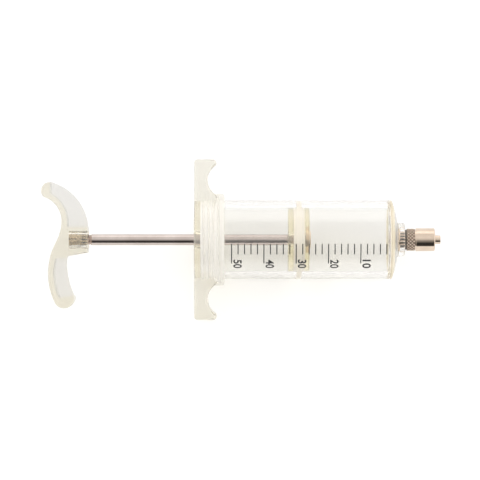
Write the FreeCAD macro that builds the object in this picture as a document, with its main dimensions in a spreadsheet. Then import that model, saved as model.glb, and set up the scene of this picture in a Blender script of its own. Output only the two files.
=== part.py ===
import FreeCAD, Part
import math
import os
import Sketcher

# Reusable luer lock syringe with a screw cap, finger wings and an S-shaped palm grip.
# Millimetres. +X runs along the axis, out of the luer cone, and the origin is the centre of the cone's end.
# The syringe lies on a surface: it is rolled about X until its cap and one wing tip touch that surface.
# Each piece is drawn about its own X axis, with its wings or arms along Y, and its Placement rolls it.

DRIVING_SIZES = [
    ("bore_diameter", 29.8, "inside of the barrel"),
    ("barrel_wall", 3.2, "wall of the barrel's tube"),
    ("chamber_length", 87.6, "open rear end of the barrel to its inner front end"),
    ("chamber_corner", 0.6, "rounding inside the front end"),
    ("front_wall", 3.5, "end wall at the barrel's front"),
    ("front_rounding", 3.0, "outer edge of the domed front"),
    ("nose_diameter", 15.6, "boss on the front wall"),
    ("nose_length", 2.7, "boss's height over the front wall"),
    ("nose_rounding", 0.8, "outer edge of the boss"),
    ("thread_pitch", 2.25, "screw thread between barrel and cap"),
    ("thread_depth", 0.8, "depth of that thread in the barrel"),
    ("thread_root", 0.7, "flat width at the groove's bottom"),
    ("thread_mouth", 1.5, "width of the groove at the surface"),
    ("thread_length", 9.0, "threaded stretch at the barrel's rear end"),
    ("thread_clearance", 0.15, "gap between the cap's thread and the barrel's, on every flank"),
    ("cap_end_wall", 2.9, "disc that closes the rear end"),
    ("cap_depth", 11.0, "inside of the cap, from the disc to the open end"),
    ("cap_diameter", 39.4, "outside of the cap beside its disc"),
    ("cap_bead_diameter", 42.5, "bead round the cap's open end"),
    ("cap_bead_length", 4.9, "bead along the axis"),
    ("cap_bead_rounding", 1.3, "edges of the bead"),
    ("cap_edge_rounding", 0.6, "edge of the cap's disc"),
    ("rod_guide_clearance", 0.3, "radial gap round the rod in the cap's hole"),
    ("wing_reach", 36.8, "axis to the end of a finger wing"),
    ("wing_width", 18.0, "wing across the syringe"),
    ("wing_tip_length", 10.2, "wing's end along the axis"),
    ("finger_rest_radius", 7.8, "hollow that a finger lies in"),
    ("finger_rest_drop", 9.5, "end of a wing to the middle of that hollow"),
    ("finger_rest_wall", 6.2, "thickness of the wing at the hollow"),
    ("wing_root_drop", 7.3, "middle of that hollow to where it runs into the bead"),
    ("wing_rounding", 1.3, "edges of a wing"),
    ("rod_diameter", 5.1, "plain rod"),
    ("rod_reach", 91.8, "grip's face to the piston's back face"),
    ("rod_rear_thread_diameter", 4.9, "thread in the grip's bush"),
    ("rod_rear_thread_length", 8.2, "thread inside the grip"),
    ("rod_rear_thread_proud", 1.4, "thread that shows outside the grip"),
    ("rod_front_thread_diameter", 4.0, "thread in the piston"),
    ("rod_turning_clearance", 0.08, "radial gap round the front thread"),
    ("rod_shoulder_clearance", 0.05, "gap between the rod's shoulder and the rear disc"),
    ("rod_edge", 0.4, "chamfer at both ends of the rod"),
    ("piston_gap", 37.75, "front disc's face to the chamber's end, as the photo shows the plunger"),
    ("disc_clearance", 0.2, "radial gap between the discs and the bore"),
    ("rear_disc_thickness", 2.5, "piston's rear disc"),
    ("front_disc_thickness", 2.2, "piston's front disc"),
    ("disc_edge", 0.3, "chamfer round the discs"),
    ("ring_length", 5.1, "silicone ring along the axis"),
    ("ring_contact_length", 2.1, "crest of the ring, which touches the bore"),
    ("ring_contact_clearance", 0.05, "radial running fit of that crest"),
    ("ring_shoulder_drop", 0.35, "ends of the ring under its crest"),
    ("spigot_diameter", 17.0, "front disc's spigot, which carries the ring"),
    ("ring_seat_clearance", 0.1, "radial gap between ring and spigot"),
    ("spigot_end_gap", 0.4, "room between the spigot and the rear disc, for tightening the ring"),
    ("nut_diameter", 7.8, "metal nut in the front disc"),
    ("nut_depth", 1.5, "nut inside the disc"),
    ("nut_proud", 0.8, "nut in front of the disc"),
    ("bush_clearance", 0.05, "gap between moulding and metal bush"),
    ("grip_width", 14.5, "palm grip across the syringe"),
    ("grip_web", 3.6, "web of the grip's arms"),
    ("grip_flange", 2.6, "flange along the grip's palm side"),
    ("grip_waist", 11.2, "depth of the grip above the rod"),
    ("grip_waist_height", 8.5, "axis up to that waist"),
    ("grip_bulge", 17.3, "depth of the grip at its lower bulge"),
    ("grip_bulge_drop", 15.5, "axis down to that bulge"),
    ("lower_palm_radius", 30.0, "lower arm's palm side"),
    ("upper_palm_radius", 11.6, "upper arm's hollow palm side"),
    ("upper_back_radius", 23.4, "upper arm's round back"),
    ("upper_back_height", 4.0, "axis up to where that back starts"),
    ("upper_tip_back_depth", 15.5, "where the back meets the upper tip"),
    ("upper_tip_palm_depth", 18.8, "where the hollow meets the upper tip"),
    ("upper_tip_radius", 3.8, "round end of the upper arm"),
    ("lower_arm_depth", 9.9, "grip's face to the lower arm's front side"),
    ("lower_arm_drop", 11.0, "axis down to the middle of that side"),
    ("lower_front_radius", 33.0, "lower arm's front side"),
    ("lower_tip_palm_drop", 28.7, "where the palm side meets the lower tip"),
    ("lower_tip_front_drop", 24.5, "where the front side meets the lower tip"),
    ("lower_tip_radius", 4.35, "round end of the lower arm"),
    ("grip_boss_drop", 5.9, "axis down to the boss's underside at its face"),
    ("grip_boss_root_drop", 7.6, "axis down to the underside's inner end"),
    ("grip_boss_corner", 1.2, "hollow corner under the boss"),
    ("upper_recess_drop", 5.9, "axis up to the upper recess"),
    ("upper_recess_depth", 16.3, "grip's face to the far end of the upper recess"),
    ("lower_recess_drop", 8.6, "axis down to the lower recess"),
    ("lower_recess_end_drop", 26.2, "axis down to the end of the lower recess, palm side"),
    ("lower_recess_mouth_drop", 24.6, "the same at its open side"),
    ("recess_overrun", 3.0, "how far the recess cuts run out past the arms"),
    ("grip_rounding", 0.9, "edges of the grip"),
    ("grip_bush_diameter", 8.0, "metal bush in the grip"),
    ("grip_bush_length", 8.8, "that bush along the axis"),
    ("grip_bush_thread_clearance", 0.05, "radial gap round the rod's rear thread"),
    ("bush_teeth", 24, "knurl teeth round each metal bush"),
    ("bush_tooth_depth", 0.35, "depth of that knurl"),
    ("bush_waist_width", 1.2, "plain groove in the middle of the grip's bush"),
    ("bush_waist_depth", 0.5, "depth of that groove"),
    ("nose_bush_diameter", 7.4, "metal bush in the nose"),
    ("nose_bush_head_length", 2.2, "knurled head of that bush"),
    ("nose_bush_shank_diameter", 6.8, "plain shank behind the head"),
    ("stud_diameter", 5.6, "fitting's threaded stud"),
    ("stud_clearance", 0.08, "radial gap between stud and bush"),
    ("stud_proud", 0.4, "stud's end inside the chamber"),
    ("washer_thickness", 0.9, "sealing washer"),
    ("washer_diameter", 9.2, "outside of that washer"),
    ("fitting_grip_diameter", 10.4, "knurled ring of the fitting"),
    ("fitting_grip_length", 3.8, "that ring along the axis"),
    ("fitting_neck_depth", 0.35, "groove between ring and collar"),
    ("fitting_neck_length", 0.4, "width of that groove"),
    ("collar_diameter", 10.64, "lock collar"),
    ("collar_length", 9.2, "groove and collar along the axis"),
    ("collar_edge", 0.5, "chamfer at the collar's mouth"),
    ("collar_bore_diameter", 8.2, "inside of the lock collar"),
    ("collar_bore_depth", 7.6, "depth of that bore"),
    ("cone_tip_diameter", 3.96, "luer cone at its end"),
    ("cone_proud", 2.65, "cone in front of the collar"),
    ("cone_taper", 0.06, "growth in diameter for each millimetre of cone"),
    ("fluid_bore_diameter", 2.8, "passage through the fitting"),
]

WORKED_OUT = [
    ("bore_radius", "Sizes.bore_diameter / 2"),
    ("barrel_radius", "Worked.bore_radius + Sizes.barrel_wall"),
    ("thread_root_radius", "Worked.barrel_radius - Sizes.thread_depth"),
    ("seat_place", "-(Sizes.fitting_grip_length + Sizes.collar_length + Sizes.cone_proud)"),
    ("nose_place", "Worked.seat_place - Sizes.washer_thickness"),
    ("chamber_end_place", "Worked.nose_place - Sizes.nose_length - Sizes.front_wall"),
    ("barrel_place", "Worked.chamber_end_place - Sizes.chamber_length"),
    ("barrel_length", "Worked.nose_place - Worked.barrel_place"),
    ("cap_place", "Worked.barrel_place - Sizes.cap_end_wall"),
    ("cap_length", "Sizes.cap_end_wall + Sizes.cap_depth"),
    ("bead_start", "Worked.cap_length - Sizes.cap_bead_length"),
    ("finger_rest_middle", "Sizes.finger_rest_wall + Sizes.finger_rest_radius"),
    ("finger_rest_height", "Sizes.wing_reach - Sizes.finger_rest_drop"),
    ("finger_rest_rise",
     "sqrt(Sizes.finger_rest_radius ^ 2 - (Worked.finger_rest_middle - Sizes.wing_tip_length) ^ 2)"),
    ("wing_root_height", "Worked.finger_rest_height - Sizes.wing_root_drop"),
    ("wing_root_length",
     "Worked.finger_rest_middle - sqrt(Sizes.finger_rest_radius ^ 2 - Sizes.wing_root_drop ^ 2)"),
    ("piston_length", "Sizes.rear_disc_thickness + Sizes.ring_length + Sizes.front_disc_thickness"),
    ("piston_place", "Worked.chamber_end_place - Sizes.piston_gap - Worked.piston_length"),
    ("disc_radius", "Worked.bore_radius - Sizes.disc_clearance"),
    ("front_disc_start", "Sizes.rear_disc_thickness + Sizes.ring_length"),
    ("nut_start", "Worked.piston_length - Sizes.nut_depth"),
    ("front_hole_radius", "Sizes.rod_front_thread_diameter / 2 + Sizes.rod_turning_clearance"),
    ("grip_place", "Worked.piston_place - Sizes.rod_reach"),
    ("rod_end", "Sizes.rod_reach + Worked.piston_length + Sizes.nut_proud - Sizes.rod_edge"),
    ("upper_palm_middle", "-(Sizes.grip_waist + Sizes.upper_palm_radius)"),
    ("palm_radii",
     "((Sizes.grip_bulge - Sizes.grip_waist) ^ 2 + (Sizes.grip_waist_height + Sizes.grip_bulge_drop) ^ 2)"
     " / (2 * (Sizes.grip_bulge - Sizes.grip_waist))"),
    ("waist_radius", "Worked.palm_radii - Sizes.lower_palm_radius"),
    ("lower_palm_middle", "Sizes.lower_palm_radius - Sizes.grip_bulge"),
    ("palm_turn_share", "Worked.waist_radius / Worked.palm_radii"),
    ("palm_turn_x",
     "-(Sizes.grip_waist + Worked.waist_radius)"
     " + Worked.palm_turn_share * (Worked.lower_palm_middle + Sizes.grip_waist + Worked.waist_radius)"),
    ("palm_turn_y",
     "Sizes.grip_waist_height"
     " - Worked.palm_turn_share * (Sizes.grip_waist_height + Sizes.grip_bulge_drop)"),
    ("lower_front_middle", "Sizes.lower_front_radius - Sizes.lower_arm_depth"),
    ("recess_floor", "Sizes.grip_web / 2"),
    ("cone_root_radius",
     "Sizes.cone_tip_diameter / 2 + Sizes.cone_taper / 2 * (Sizes.cone_proud + Sizes.collar_bore_depth)"),
    ("fitting_length", "Sizes.fitting_grip_length + Sizes.collar_length + Sizes.cone_proud"),
    ("stud_length", "Sizes.washer_thickness + Sizes.nose_length + Sizes.front_wall + Sizes.stud_proud"),
    ("bush_length", "Sizes.nose_length + Sizes.front_wall"),
    ("rest_corner", "hypot(Sizes.wing_reach - Sizes.wing_rounding; Sizes.wing_width / 2 - Sizes.wing_rounding)"),
    ("roll_angle",
     "asin((Sizes.cap_bead_diameter / 2 - Sizes.wing_rounding) / Worked.rest_corner)"
     " - atan((Sizes.wing_width / 2 - Sizes.wing_rounding) / (Sizes.wing_reach - Sizes.wing_rounding))"),
]

ORIGIN = FreeCAD.Vector(0, 0, 0)
ALONG_X = FreeCAD.Vector(1, 0, 0)
ALONG_Z = FreeCAD.Vector(0, 0, 1)
FULL_TURN = 360
FIRST_TURN = 1
NEAR = 0.001
KNURL_SHARE = 0.9
KNURL_OVERRUN = 1.01

doc = FreeCAD.newDocument("luer_lock_syringe")
pieces = []


def add_sheet(name, rows):
    """A spreadsheet with one named value in each row."""
    sheet = doc.addObject("Spreadsheet::Sheet", name)
    for number, (alias, content, *note) in enumerate(rows, start=1):
        sheet.set(f"A{number}", alias)
        sheet.set(f"B{number}", content)
        sheet.setAlias(f"B{number}", alias)
        if note:
            sheet.set(f"C{number}", note[0])
    doc.recompute()
    return sheet


sizes = add_sheet("Sizes", [(alias, str(value), note) for alias, value, note in DRIVING_SIZES])
worked = add_sheet("Worked", [(alias, "=" + formula.replace("Worked.", "")) for alias, formula in WORKED_OUT])


def value_of(formula):
    """What an expression is worth now, as a plain number."""
    found = sizes.evalExpression(formula)
    return float(getattr(found, "Value", found))


def new_piece(label, place):
    """An empty body on the syringe's axis, rolled with the rest, at an X place."""
    body = doc.addObject("PartDesign::Body", label)
    body.Label = label
    body.Placement = FreeCAD.Placement(ORIGIN, FreeCAD.Rotation(ALONG_X, FIRST_TURN))
    body.setExpression("Placement.Base.x", place)
    body.setExpression("Placement.Rotation.Angle", "Worked.roll_angle")
    pieces.append(body)
    return body


def origin_part(body, role):
    """One of the body's own origin planes or axes."""
    return next(part for part in body.Origin.OriginFeatures if part.Role == role)


def new_sketch(body, name, plane="XY_Plane", height=None):
    """An empty sketch on one of the body's origin planes, or at a height over it."""
    sketch = body.newObject("Sketcher::SketchObject", name)
    sketch.AttachmentSupport = [(origin_part(body, plane), "")]
    sketch.MapMode = "FlatFace"
    if height:
        sketch.setExpression("AttachmentOffset.Base.z", height)
    return sketch


def pin_point(sketch, edge, end, corner):
    """Ties one end of an edge to a corner given by two expressions."""
    for kind, axis, formula in (("DistanceX", -2, corner[0]), ("DistanceY", -1, corner[1])):
        if formula == "0":
            sketch.addConstraint(Sketcher.Constraint("PointOnObject", edge, end, axis))
        else:
            number = sketch.addConstraint(Sketcher.Constraint(kind, -1, 1, edge, end, value_of(formula)))
            sketch.setExpression(f"Constraints[{number}]", formula)


def arc_between(start, finish, radius, bulge):
    """The shorter arc from start to finish that bulges to the left or right of the way there."""
    chord = finish - start
    side = FreeCAD.Vector(-chord.y, chord.x, 0).normalize() * (1 if bulge == "left" else -1)
    middle = (start + finish) / 2 - side * math.sqrt(radius ** 2 - (chord.Length / 2) ** 2)
    angles = [math.atan2(point.y - middle.y, point.x - middle.x) for point in (start, finish)]
    if bulge == "left":
        angles.reverse()
    return Part.ArcOfCircle(Part.Circle(middle, ALONG_Z, radius), *angles)


def draw_outline(sketch, corners, arcs=()):
    """A closed outline through corners. arcs maps the number of a side to its radius and bulge."""
    arcs = dict(arcs)
    points = [FreeCAD.Vector(value_of(x), value_of(y), 0) for x, y in corners]
    first = sketch.GeometryCount
    ends = []
    for side, start in enumerate(points):
        finish = points[(side + 1) % len(points)]
        if side in arcs:
            formula, bulge = arcs[side]
            number = sketch.addGeometry(arc_between(start, finish, value_of(formula), bulge), False)
            limit = sketch.addConstraint(Sketcher.Constraint("Radius", number, value_of(formula)))
            sketch.setExpression(f"Constraints[{limit}]", formula)
            ends.append((2, 1) if bulge == "left" else (1, 2))
        else:
            sketch.addGeometry(Part.LineSegment(start, finish), False)
            ends.append((1, 2))
    for side, corner in enumerate(corners):
        edge = first + side
        before = first + (side - 1) % len(corners)
        pin_point(sketch, edge, ends[side][0], corner)
        joined = Sketcher.Constraint("Coincident", before, ends[side - 1][1], edge, ends[side][0])
        sketch.addConstraint(joined)
    return sketch


def turn_profile(body, name, corners, kind="PartDesign::Revolution", arcs=()):
    """A body of revolution, or a groove, about the syringe's axis."""
    sketch = draw_outline(new_sketch(body, name + "_profile"), corners, arcs)
    turned = body.newObject(kind, name)
    turned.Profile = sketch
    turned.ReferenceAxis = (sketch, ["H_Axis"])
    turned.Angle = FULL_TURN
    doc.recompute()
    return turned


def box_profile(start, finish, low, high):
    """Corners of a plain band from one X to another, between two radii."""
    return [(start, low), (finish, low), (finish, high), (start, high)]


def round_edges(body, name, base, radius, chosen, kind="PartDesign::Fillet", bound="Radius"):
    """A fillet or chamfer on the edges of the last feature that a test chooses."""
    names = [f"Edge{number}" for number, edge in enumerate(base.Shape.Edges, start=1) if chosen(edge)]
    feature = body.newObject(kind, name)
    feature.Base = (base, names)
    feature.setExpression(bound, radius)
    doc.recompute()
    return feature


def ring_edge_at(along, radius):
    """A test for the full round edge at an X place and a radius."""
    def chosen(edge):
        curve = edge.Curve
        round_it_is = isinstance(curve, Part.Circle) and edge.isClosed()
        return (round_it_is and abs(curve.Center.x - value_of(along)) < NEAR
                and abs(curve.Radius - value_of(radius)) < NEAR)
    return chosen


def wind_thread(body, name, corners, length, kind):
    """A helical groove or ridge about the syringe's axis, from an outline on the XY plane."""
    sketch = draw_outline(new_sketch(body, name + "_profile"), corners)
    thread = body.newObject(kind, name)
    thread.Profile = sketch
    thread.ReferenceAxis = (sketch, ["H_Axis"])
    thread.Mode = "pitch-height-angle"
    thread.setExpression("Pitch", "Sizes.thread_pitch")
    thread.setExpression("Height", length)
    doc.recompute()
    return thread


def knurl(body, name, radius, start, length):
    """Straight V grooves round a turned head, from an X place over a length."""
    half = f"{radius} * sin(180 deg / Sizes.bush_teeth) * {KNURL_SHARE}"
    sketch = new_sketch(body, name + "_tooth", "YZ_Plane", start)
    rim = f"{radius} * {KNURL_OVERRUN}"
    draw_outline(sketch, [(f"-({half})", rim), ("0", f"{radius} - Sizes.bush_tooth_depth"), (half, rim)])
    cut = body.newObject("PartDesign::Pocket", name + "_cut")
    cut.Profile = sketch
    cut.setExpression("Length", length)
    cut.Reversed = True
    doc.recompute()
    pattern = body.newObject("PartDesign::PolarPattern", name)
    pattern.Originals = [cut]
    pattern.Axis = (origin_part(body, "X_Axis"), [""])
    pattern.Angle = FULL_TURN
    pattern.setExpression("Occurrences", "Sizes.bush_teeth")
    body.Tip = pattern
    doc.recompute()
    return pattern


def make_barrel():
    """Clear tube, open at its threaded rear end, closed by a domed front with a hollow nose."""
    body = new_piece("barrel", "Worked.barrel_place")
    wall_end = "Sizes.chamber_length + Sizes.front_wall"
    nose_hole = "Sizes.nose_bush_diameter / 2 + Sizes.bush_clearance"
    shank_hole = "Sizes.nose_bush_shank_diameter / 2 + Sizes.bush_clearance"
    head_start = "Worked.barrel_length - Sizes.nose_bush_head_length"
    tube = turn_profile(body, "tube", [
        ("0", "Worked.bore_radius"),
        ("Sizes.chamber_length", "Worked.bore_radius"),
        ("Sizes.chamber_length", shank_hole),
        (head_start, shank_hole),
        (head_start, nose_hole),
        ("Worked.barrel_length", nose_hole),
        ("Worked.barrel_length", "Sizes.nose_diameter / 2"),
        (wall_end, "Sizes.nose_diameter / 2"),
        (wall_end, "Worked.barrel_radius"),
        ("0", "Worked.barrel_radius"),
    ])
    dome = round_edges(body, "dome", tube, "Sizes.front_rounding",
                       ring_edge_at(wall_end, "Worked.barrel_radius"))
    nose = round_edges(body, "nose_edge", dome, "Sizes.nose_rounding",
                       ring_edge_at("Worked.barrel_length", "Sizes.nose_diameter / 2"))
    round_edges(body, "chamber_end", nose, "Sizes.chamber_corner",
                ring_edge_at("Sizes.chamber_length", "Worked.bore_radius"))
    start = "-Sizes.thread_pitch / 2"
    over = "Worked.barrel_radius + Sizes.thread_clearance"
    wind_thread(body, "barrel_thread", [
        (f"{start} - Sizes.thread_mouth / 2", over),
        (f"{start} - Sizes.thread_root / 2", "Worked.thread_root_radius"),
        (f"{start} + Sizes.thread_root / 2", "Worked.thread_root_radius"),
        (f"{start} + Sizes.thread_mouth / 2", over),
    ], "Sizes.thread_length + Sizes.thread_pitch / 2", "PartDesign::SubtractiveHelix")


def make_screw_cap():
    """Clear cap with an inside thread, a bead round its mouth and two finger wings."""
    body = new_piece("screw_cap", "Worked.cap_place")
    reach = "Sizes.wing_reach"
    nose = "Worked.finger_rest_height + Worked.finger_rest_rise"
    outline = draw_outline(new_sketch(body, "wing_outline"), [
        ("0", f"-{reach}"),
        ("Sizes.wing_tip_length", f"-{reach}"),
        ("Sizes.wing_tip_length", f"-({nose})"),
        ("Worked.wing_root_length", "-Worked.wing_root_height"),
        ("Worked.wing_root_length", "Worked.wing_root_height"),
        ("Sizes.wing_tip_length", nose),
        ("Sizes.wing_tip_length", reach),
        ("0", reach),
    ], {2: ("Sizes.finger_rest_radius", "left"), 4: ("Sizes.finger_rest_radius", "left")})
    wings = body.newObject("PartDesign::Pad", "wings")
    wings.Profile = outline
    wings.Midplane = True
    wings.setExpression("Length", "Sizes.wing_width")
    doc.recompute()
    half = value_of("Sizes.wing_width / 2")
    bead = value_of("Sizes.cap_bead_diameter / 2")

    def outer_wing_edge(edge):
        points = [vertex.Point for vertex in edge.Vertexes]
        beside = all(abs(abs(point.z) - half) < NEAR for point in points)
        at_tip = all(abs(abs(point.y) - value_of(reach)) < NEAR for point in points)
        at_nose = all(abs(point.x - value_of("Sizes.wing_tip_length")) < NEAR for point in points)
        outside = max((abs(point.y) for point in points), default=0) > bead
        return outside and (beside or at_tip or at_nose)

    round_edges(body, "wing_edges", wings, "Sizes.wing_rounding", outer_wing_edge)
    skirt = "Sizes.cap_diameter / 2"
    rim = "Sizes.cap_bead_diameter / 2"
    edge = "Sizes.cap_bead_rounding"
    turn_profile(body, "cap_body", [
        ("0", "0"),
        ("Worked.cap_length", "0"),
        ("Worked.cap_length", f"{rim} - {edge}"),
        (f"Worked.cap_length - {edge}", rim),
        (f"Worked.bead_start + {edge}", rim),
        ("Worked.bead_start", f"{rim} - {edge}"),
        ("Worked.bead_start", skirt),
        ("Sizes.cap_edge_rounding", skirt),
        ("0", f"{skirt} - Sizes.cap_edge_rounding"),
    ], arcs={2: (edge, "right"), 4: (edge, "right"), 7: ("Sizes.cap_edge_rounding", "right")})
    turn_profile(body, "cap_hollow", box_profile(
        "Sizes.cap_end_wall", "Worked.cap_length + Sizes.thread_clearance",
        "0", "Worked.barrel_radius + Sizes.thread_clearance"), "PartDesign::Groove")
    turn_profile(body, "rod_hole", box_profile(
        "-Sizes.thread_clearance", "Worked.cap_length", "0",
        "Sizes.rod_diameter / 2 + Sizes.rod_guide_clearance"), "PartDesign::Groove")
    start = "Sizes.cap_end_wall + Sizes.thread_pitch / 2"
    over = "Worked.barrel_radius + 2 * Sizes.thread_clearance"
    crest = "Worked.thread_root_radius + Sizes.thread_clearance"
    wind_thread(body, "cap_thread", [
        (f"{start} - Sizes.thread_mouth / 2 + Sizes.thread_clearance", over),
        (f"{start} + Sizes.thread_mouth / 2 - Sizes.thread_clearance", over),
        (f"{start} + Sizes.thread_root / 2 - Sizes.thread_clearance", crest),
        (f"{start} - Sizes.thread_root / 2 + Sizes.thread_clearance", crest),
    ], "Sizes.thread_length - Sizes.thread_pitch", "PartDesign::AdditiveHelix")


def make_nose_insert():
    """Metal bush moulded into the nose: a knurled head and a plain shank."""
    body = new_piece("nose_insert", "Worked.chamber_end_place")
    head = "Worked.bush_length - Sizes.nose_bush_head_length"
    hole = "Sizes.stud_diameter / 2 + Sizes.stud_clearance"
    turn_profile(body, "nose_bush", [
        ("0", hole),
        ("Worked.bush_length", hole),
        ("Worked.bush_length", "Sizes.nose_bush_diameter / 2"),
        (head, "Sizes.nose_bush_diameter / 2"),
        (head, "Sizes.nose_bush_shank_diameter / 2"),
        ("0", "Sizes.nose_bush_shank_diameter / 2"),
    ])
    knurl(body, "nose_bush_knurl", "Sizes.nose_bush_diameter / 2", head, "Sizes.nose_bush_head_length")


def make_nozzle_washer():
    """Flat sealing washer between nose and fitting."""
    body = new_piece("nozzle_washer", "Worked.nose_place")
    turn_profile(body, "washer", box_profile(
        "0", "Sizes.washer_thickness", "Sizes.stud_diameter / 2 + Sizes.stud_clearance",
        "Sizes.washer_diameter / 2"))


def make_luer_fitting():
    """Turned metal fitting: stud, grip ring, lock collar and the 6% cone inside it."""
    body = new_piece("luer_fitting", "Worked.seat_place")
    grip = "Sizes.fitting_grip_diameter / 2"
    collar = "Sizes.collar_diameter / 2"
    neck = f"{grip} - Sizes.fitting_neck_depth"
    neck_end = "Sizes.fitting_grip_length + Sizes.fitting_neck_length"
    mouth = "Sizes.fitting_grip_length + Sizes.collar_length"
    floor = f"{mouth} - Sizes.collar_bore_depth"
    blank = turn_profile(body, "fitting", [
        ("-Worked.stud_length", "Sizes.fluid_bore_diameter / 2"),
        ("Worked.fitting_length", "Sizes.fluid_bore_diameter / 2"),
        ("Worked.fitting_length", "Sizes.cone_tip_diameter / 2"),
        (floor, "Worked.cone_root_radius"),
        (floor, "Sizes.collar_bore_diameter / 2"),
        (mouth, "Sizes.collar_bore_diameter / 2"),
        (mouth, collar),
        (neck_end, collar),
        (neck_end, neck),
        ("Sizes.fitting_grip_length", neck),
        ("Sizes.fitting_grip_length", grip),
        ("0", grip),
        ("0", "Sizes.stud_diameter / 2"),
        ("-Worked.stud_length", "Sizes.stud_diameter / 2"),
    ])
    round_edges(body, "collar_edges", blank, "Sizes.collar_edge",
                ring_edge_at(mouth, collar), "PartDesign::Chamfer", "Size")


def make_plunger_rod():
    """Steel rod with a thread at each end and a shoulder that bears on the rear disc."""
    body = new_piece("plunger_rod", "Worked.grip_place")
    rear = "Sizes.rod_rear_thread_diameter / 2"
    front = "Sizes.rod_front_thread_diameter / 2"
    shoulder = "Sizes.rod_reach - Sizes.rod_shoulder_clearance"
    blank = turn_profile(body, "rod", [
        ("-Sizes.rod_rear_thread_length", "0"),
        ("Worked.rod_end", "0"),
        ("Worked.rod_end", front),
        (shoulder, front),
        (shoulder, "Sizes.rod_diameter / 2"),
        ("Sizes.rod_rear_thread_proud", "Sizes.rod_diameter / 2"),
        ("Sizes.rod_rear_thread_proud", rear),
        ("-Sizes.rod_rear_thread_length", rear),
    ])
    round_edges(body, "rod_ends", blank, "Sizes.rod_edge", lambda edge: (
        ring_edge_at("Worked.rod_end", front)(edge)
        or ring_edge_at("-Sizes.rod_rear_thread_length", rear)(edge)), "PartDesign::Chamfer", "Size")


def make_piston_rear():
    """Rear disc, which the rod's shoulder pushes."""
    body = new_piece("piston_rear", "Worked.piston_place")
    disc = turn_profile(body, "rear_disc", box_profile(
        "0", "Sizes.rear_disc_thickness", "Worked.front_hole_radius", "Worked.disc_radius"))
    round_edges(body, "rear_disc_edges", disc, "Sizes.disc_edge", lambda edge: (
        ring_edge_at("0", "Worked.disc_radius")(edge)), "PartDesign::Chamfer", "Size")


def make_piston_ring():
    """Silicone ring with a flat crest, squeezed between the discs."""
    body = new_piece("piston_ring", "Worked.piston_place + Sizes.rear_disc_thickness")
    crest = "Worked.bore_radius - Sizes.ring_contact_clearance"
    shoulder = f"{crest} - Sizes.ring_shoulder_drop"
    inner = "Sizes.spigot_diameter / 2 + Sizes.ring_seat_clearance"
    turn_profile(body, "ring", [
        ("0", inner),
        ("Sizes.ring_length", inner),
        ("Sizes.ring_length", shoulder),
        ("(Sizes.ring_length + Sizes.ring_contact_length) / 2", crest),
        ("(Sizes.ring_length - Sizes.ring_contact_length) / 2", crest),
        ("0", shoulder),
    ])


def make_piston_front():
    """Front disc with the spigot for the ring and the seat for the nut."""
    body = new_piece("piston_front", "Worked.piston_place")
    nut_seat = "Sizes.nut_diameter / 2 + Sizes.bush_clearance"
    spigot = "Sizes.rear_disc_thickness + Sizes.spigot_end_gap"
    disc = turn_profile(body, "front_disc", [
        (spigot, "Worked.front_hole_radius"),
        ("Worked.nut_start", "Worked.front_hole_radius"),
        ("Worked.nut_start", nut_seat),
        ("Worked.piston_length", nut_seat),
        ("Worked.piston_length", "Worked.disc_radius"),
        ("Worked.front_disc_start", "Worked.disc_radius"),
        ("Worked.front_disc_start", "Sizes.spigot_diameter / 2"),
        (spigot, "Sizes.spigot_diameter / 2"),
    ])
    round_edges(body, "front_disc_edge", disc, "Sizes.disc_edge",
                ring_edge_at("Worked.piston_length", "Worked.disc_radius"), "PartDesign::Chamfer", "Size")


def make_piston_nut():
    """Metal nut moulded into the front disc, a little proud of its face."""
    body = new_piece("piston_nut", "Worked.piston_place + Worked.nut_start")
    length = "Sizes.nut_depth + Sizes.nut_proud"
    nut = turn_profile(body, "nut", box_profile(
        "0", length, "Worked.front_hole_radius", "Sizes.nut_diameter / 2"))
    round_edges(body, "nut_edge", nut, "Sizes.disc_edge",
                ring_edge_at(length, "Sizes.nut_diameter / 2"), "PartDesign::Chamfer", "Size")


def on_circle(middle, radius, middle_height, height, side):
    """X of a circle at a height: the middle plus or minus the half chord there."""
    return f"{middle} {side} sqrt(({radius}) ^ 2 - (({height}) - ({middle_height})) ^ 2)"


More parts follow.
